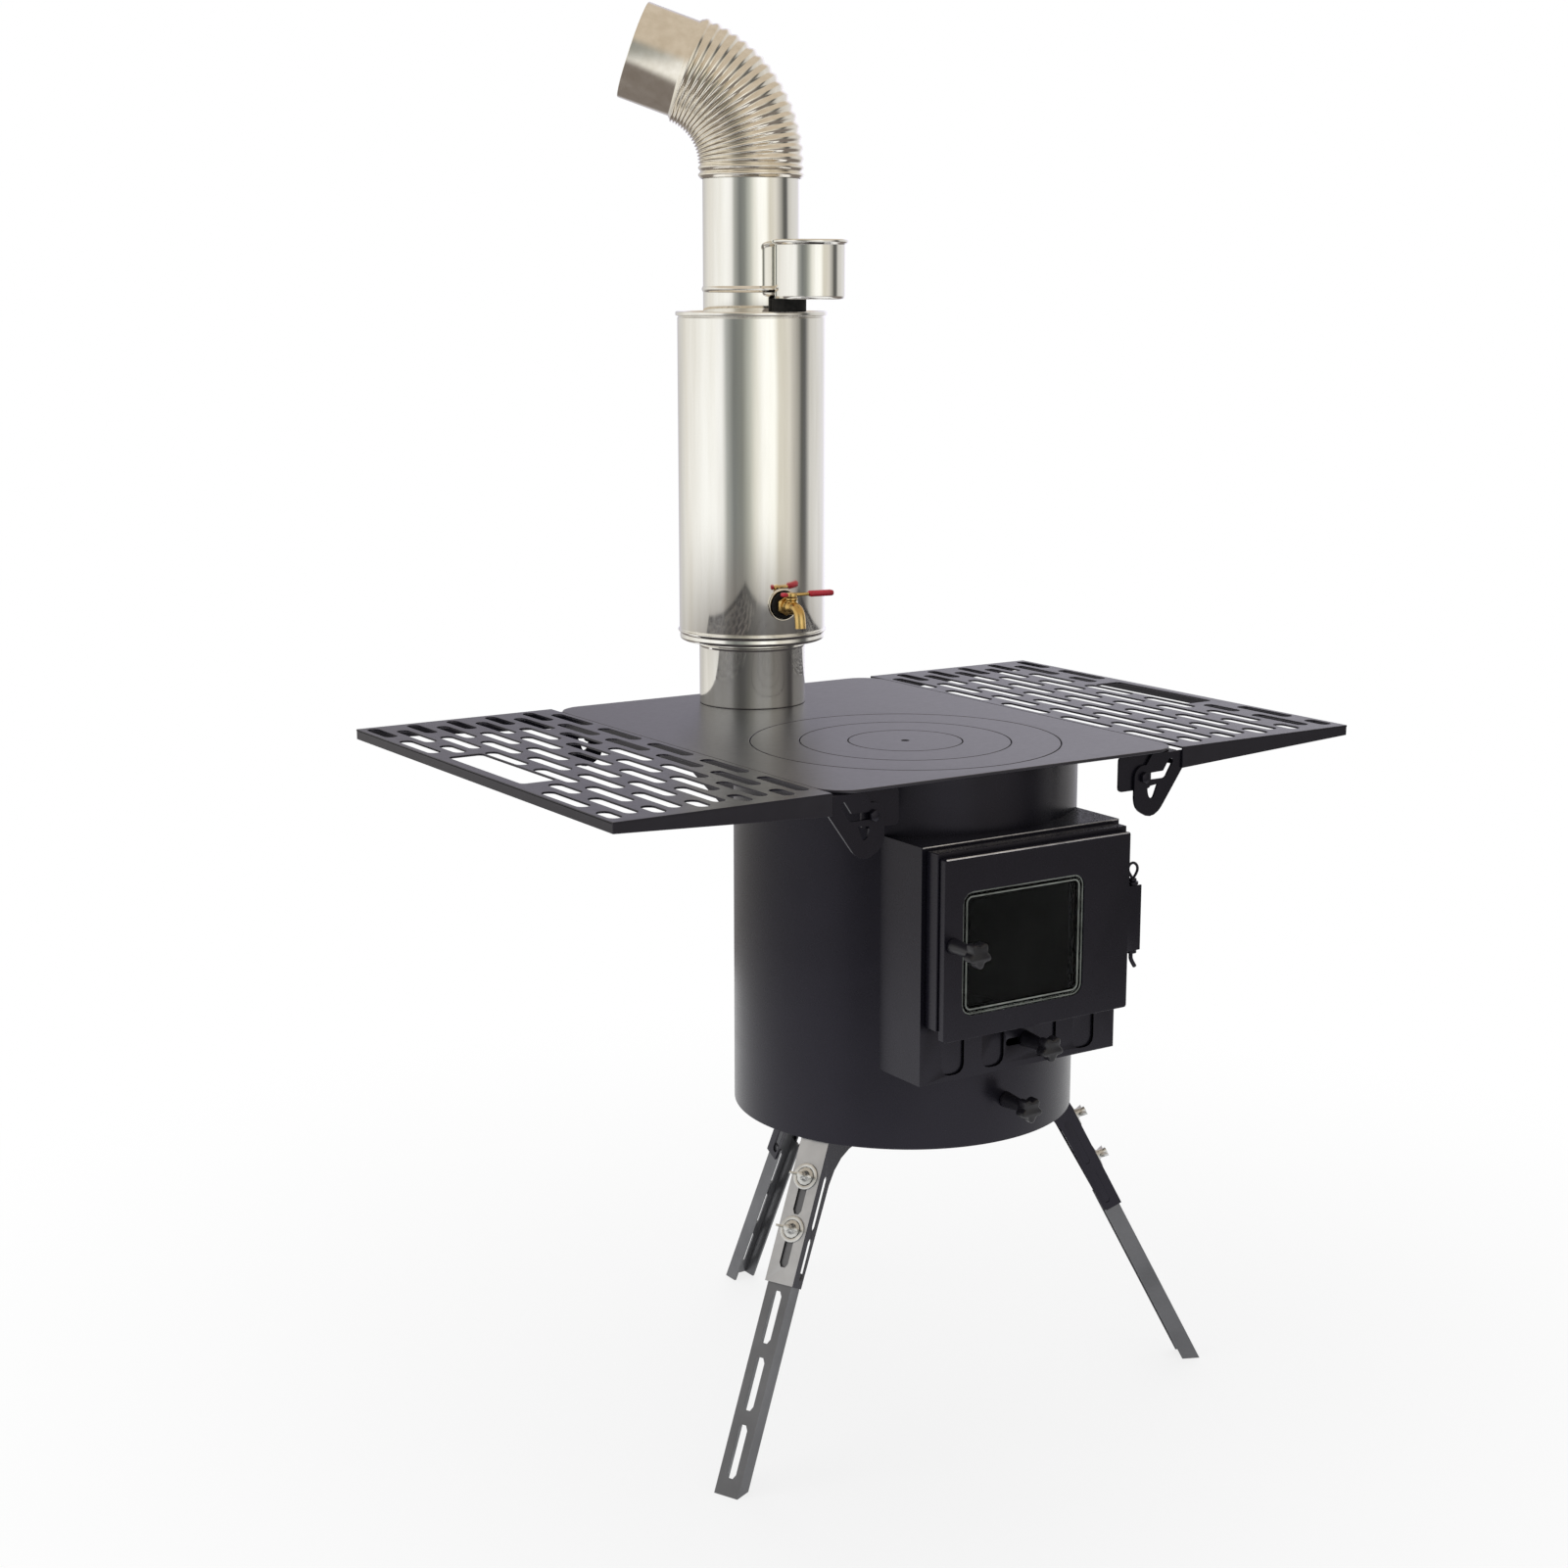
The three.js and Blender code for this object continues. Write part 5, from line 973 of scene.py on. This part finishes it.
print("stove: floor and lamps")
studio = {
    "floorRadius": 1.5, "floorColour": (0.86, 0.86, 0.86, 1), "clearRadius": (0.35, 1.3), "leastWhite": 0.8,
    "keyPower": 40.0, "keyPlace": (0.9, 1.2, 3.4), "sidePower": 20.0, "sidePlace": (-2.7, 0.4, 1.6),
    "rimPower": 14.0, "rimPlace": (1.45, 2.25, 2.4), "world": 0.55,
    "ground": (-0.12, -0.36, (0.22, 0.195, 0.18)), "ceiling": (0.30, 0.62, (0.64, 0.56, 0.46)),
}


def floorMaterial():
    # pale floor that keeps the shadows near the legs and fades to the white background further out
    material = bpy.data.materials.new("paleFloor")
    material.use_nodes = True
    tree = material.node_tree
    tree.nodes.clear()
    output = addNode(tree, "OutputMaterial")
    matt = addNode(tree, "BsdfDiffuse", {"Color": studio["floorColour"]})
    white = addNode(tree, "Emission", {"Color": (1, 1, 1, 1)})
    spot = addNode(tree, "TexCoord")
    reach = addNode(tree, "VectorMath")
    reach.operation = "LENGTH"
    near, far = studio["clearRadius"]
    fade = addNode(tree, "MapRange", {"From Min": near, "From Max": far, "To Min": studio["leastWhite"]})
    fade.interpolation_type = "SMOOTHSTEP"
    lightPath = addNode(tree, "LightPath")
    seen = addNode(tree, "Math")
    seen.operation = "MAXIMUM"
    share = addNode(tree, "Math")
    share.operation = "MULTIPLY"
    mix = addNode(tree, "MixShader")
    linkAll(tree, [
        (spot.outputs["Object"], reach.inputs[0]), (reach.outputs["Value"], fade.inputs["Value"]),
        (lightPath.outputs["Is Camera Ray"], seen.inputs[0]), (lightPath.outputs["Is Glossy Ray"], seen.inputs[1]),
        (fade.outputs["Result"], share.inputs[0]), (seen.outputs["Value"], share.inputs[1]),
        (share.outputs["Value"], mix.inputs["Fac"]), (matt.outputs["BSDF"], mix.inputs[1]),
        (white.outputs["Emission"], mix.inputs[2]), (mix.outputs["Shader"], output.inputs["Surface"]),
    ])
    return material


floorShape = bmesh.new()
bmesh.ops.create_circle(floorShape, cap_ends=True, segments=96, radius=studio["floorRadius"])
floorMesh = bpy.data.meshes.new("studioFloor")
floorShape.to_mesh(floorMesh)
floorShape.free()
floorMesh.materials.append(floorMaterial())
floor = bpy.data.objects.new("studioFloor", floorMesh)
bpy.context.scene.collection.objects.link(floor)


def softLamp(name, size, power, spot, target):
    lamp = bpy.data.lights.new(name, "AREA")
    lamp.shape = "RECTANGLE"
    lamp.size, lamp.size_y = size
    lamp.energy = power
    holder = bpy.data.objects.new(name, lamp)
    holder.location = spot
    holder.rotation_euler = (Vector(target) - Vector(spot)).to_track_quat("-Z", "Y").to_euler()
    holder.visible_glossy = False
    bpy.context.scene.collection.objects.link(holder)


softLamp("keyLamp", (4.0, 4.0), studio["keyPower"], studio["keyPlace"], (0, 0, 0.5))
softLamp("sideLamp", (1.8, 1.8), studio["sidePower"], studio["sidePlace"], (0, 0, 0.5))
softLamp("rimLamp", (2.6, 0.35), studio["rimPower"], studio["rimPlace"], (0, 0, 0.6))

world = bpy.data.worlds.new("paleStudio")
world.use_nodes = True
bpy.context.scene.world = world
worldTree = world.node_tree
worldTree.nodes.clear()
worldOut = addNode(worldTree, "OutputWorld")
paths = addNode(worldTree, "LightPath")
ambient = addNode(worldTree, "Background", {"Color": (1, 1, 1, 1), "Strength": studio["world"]})
backdrop = addNode(worldTree, "Background", {"Color": (1, 1, 1, 1), "Strength": 1.0})
# soft standing panels round the studio, as mirror-bright metal shows them: light walls and a few darker gaps
panels = addNode(worldTree, "Background", {"Strength": 1.0})
heading = addNode(worldTree, "TexCoord")
compass = addNode(worldTree, "TexGradient")
compass.gradient_type = "RADIAL"
tones = addNode(worldTree, "ValToRGB")
panelTones = [  # share of a turn, and the colour met there
    (0.0, (1.02, 1.02, 1.0)), (0.03, (0.92, 0.92, 0.90)), (0.05, (0.44, 0.45, 0.43)), (0.085, (0.20, 0.21, 0.20)),
    (0.118, (0.25, 0.26, 0.24)), (0.15, (0.50, 0.51, 0.46)), (0.178, (0.86, 0.85, 0.78)), (0.21, (1.1, 1.1, 1.06)),
    (0.26, (1.1, 1.1, 1.04)), (0.285, (0.74, 0.71, 0.62)), (0.33, (0.74, 0.71, 0.64)), (0.355, (0.52, 0.50, 0.46)),
    (0.375, (0.36, 0.35, 0.32)), (0.395, (0.12, 0.12, 0.11)), (0.42, (0.12, 0.12, 0.12)), (0.445, (0.66, 0.65, 0.62)),
    (0.50, (0.76, 0.75, 0.73)), (0.56, (0.78, 0.77, 0.78)), (0.61, (1.02, 1.0, 1.10)), (0.64, (1.0, 0.98, 1.10)),
    (0.672, (0.62, 0.60, 0.70)), (0.70, (0.58, 0.56, 0.58)), (0.76, (0.66, 0.65, 0.62)), (0.82, (0.84, 0.82, 0.77)),
    (0.88, (0.90, 0.89, 0.85)), (0.95, (1.0, 1.0, 0.97)),
]
while len(tones.color_ramp.elements) < len(panelTones):
    tones.color_ramp.elements.new(1.0)
for element, (position, colour) in zip(tones.color_ramp.elements, panelTones):
    element.position = position
    element.color = (*colour, 1)
heights = addNode(worldTree, "SeparateXYZ")


def roomTone(below, start, full, colour):  # another tone instead, from one height of the view ray to another
    amount = addNode(worldTree, "MapRange", {"From Min": start, "From Max": full})
    amount.interpolation_type = "SMOOTHSTEP"
    mixed = addNode(worldTree, "Mix", {7: (*colour, 1)})
    mixed.data_type = "RGBA"
    linkAll(worldTree, [(heights.outputs["Z"], amount.inputs["Value"]), (amount.outputs["Result"], mixed.inputs[0]),
                        (below, mixed.inputs[6])])
    return mixed.outputs[2]


# under the panels the room's darker ground shows, and over them its duller ceiling
linkAll(worldTree, [(heading.outputs["Generated"], compass.inputs["Vector"]),
                    (heading.outputs["Generated"], heights.inputs["Vector"]),
                    (compass.outputs["Fac"], tones.inputs["Fac"])])
withGround = roomTone(tones.outputs["Color"], *studio["ground"])
withCeiling = roomTone(withGround, *studio["ceiling"])
shown = addNode(worldTree, "Math")
shown.operation = "MAXIMUM"
mixPanels = addNode(worldTree, "MixShader")
mixBackdrop = addNode(worldTree, "MixShader")
linkAll(worldTree, [
    (withCeiling, panels.inputs["Color"]), (paths.outputs["Is Camera Ray"], shown.inputs[0]),
    (paths.outputs["Is Transmission Ray"], shown.inputs[1]), (paths.outputs["Is Glossy Ray"], mixPanels.inputs["Fac"]),
    (ambient.outputs["Background"], mixPanels.inputs[1]), (panels.outputs["Background"], mixPanels.inputs[2]),
    (shown.outputs["Value"], mixBackdrop.inputs["Fac"]), (mixPanels.outputs["Shader"], mixBackdrop.inputs[1]),
    (backdrop.outputs["Background"], mixBackdrop.inputs[2]),
    (mixBackdrop.outputs["Shader"], worldOut.inputs["Surface"]),
])

print("stove: camera")
view = {"place": (-1.38603, -1.98007, 1.08313), "azimuth": -33.0797, "pitch": 0.1989, "lens": 57.43}
camera = bpy.data.cameras.new("frontLeftCamera")
camera.sensor_width = 36.0
camera.lens = view["lens"]
camera.clip_end = 50
cameraObject = bpy.data.objects.new("frontLeftCamera", camera)
turn = math.radians(view["azimuth"])
ahead = Vector((-math.sin(turn) * math.cos(view["pitch"]), math.cos(turn) * math.cos(view["pitch"]),
                -math.sin(view["pitch"])))
across = Vector((math.cos(turn), math.sin(turn), 0))
upward = across.cross(ahead)
pose = Matrix((across, upward, -ahead)).transposed().to_4x4()
pose.translation = view["place"]
cameraObject.matrix_world = pose
bpy.context.scene.collection.objects.link(cameraObject)
bpy.context.scene.camera = cameraObject
bpy.context.scene.view_settings.view_transform = "Standard"
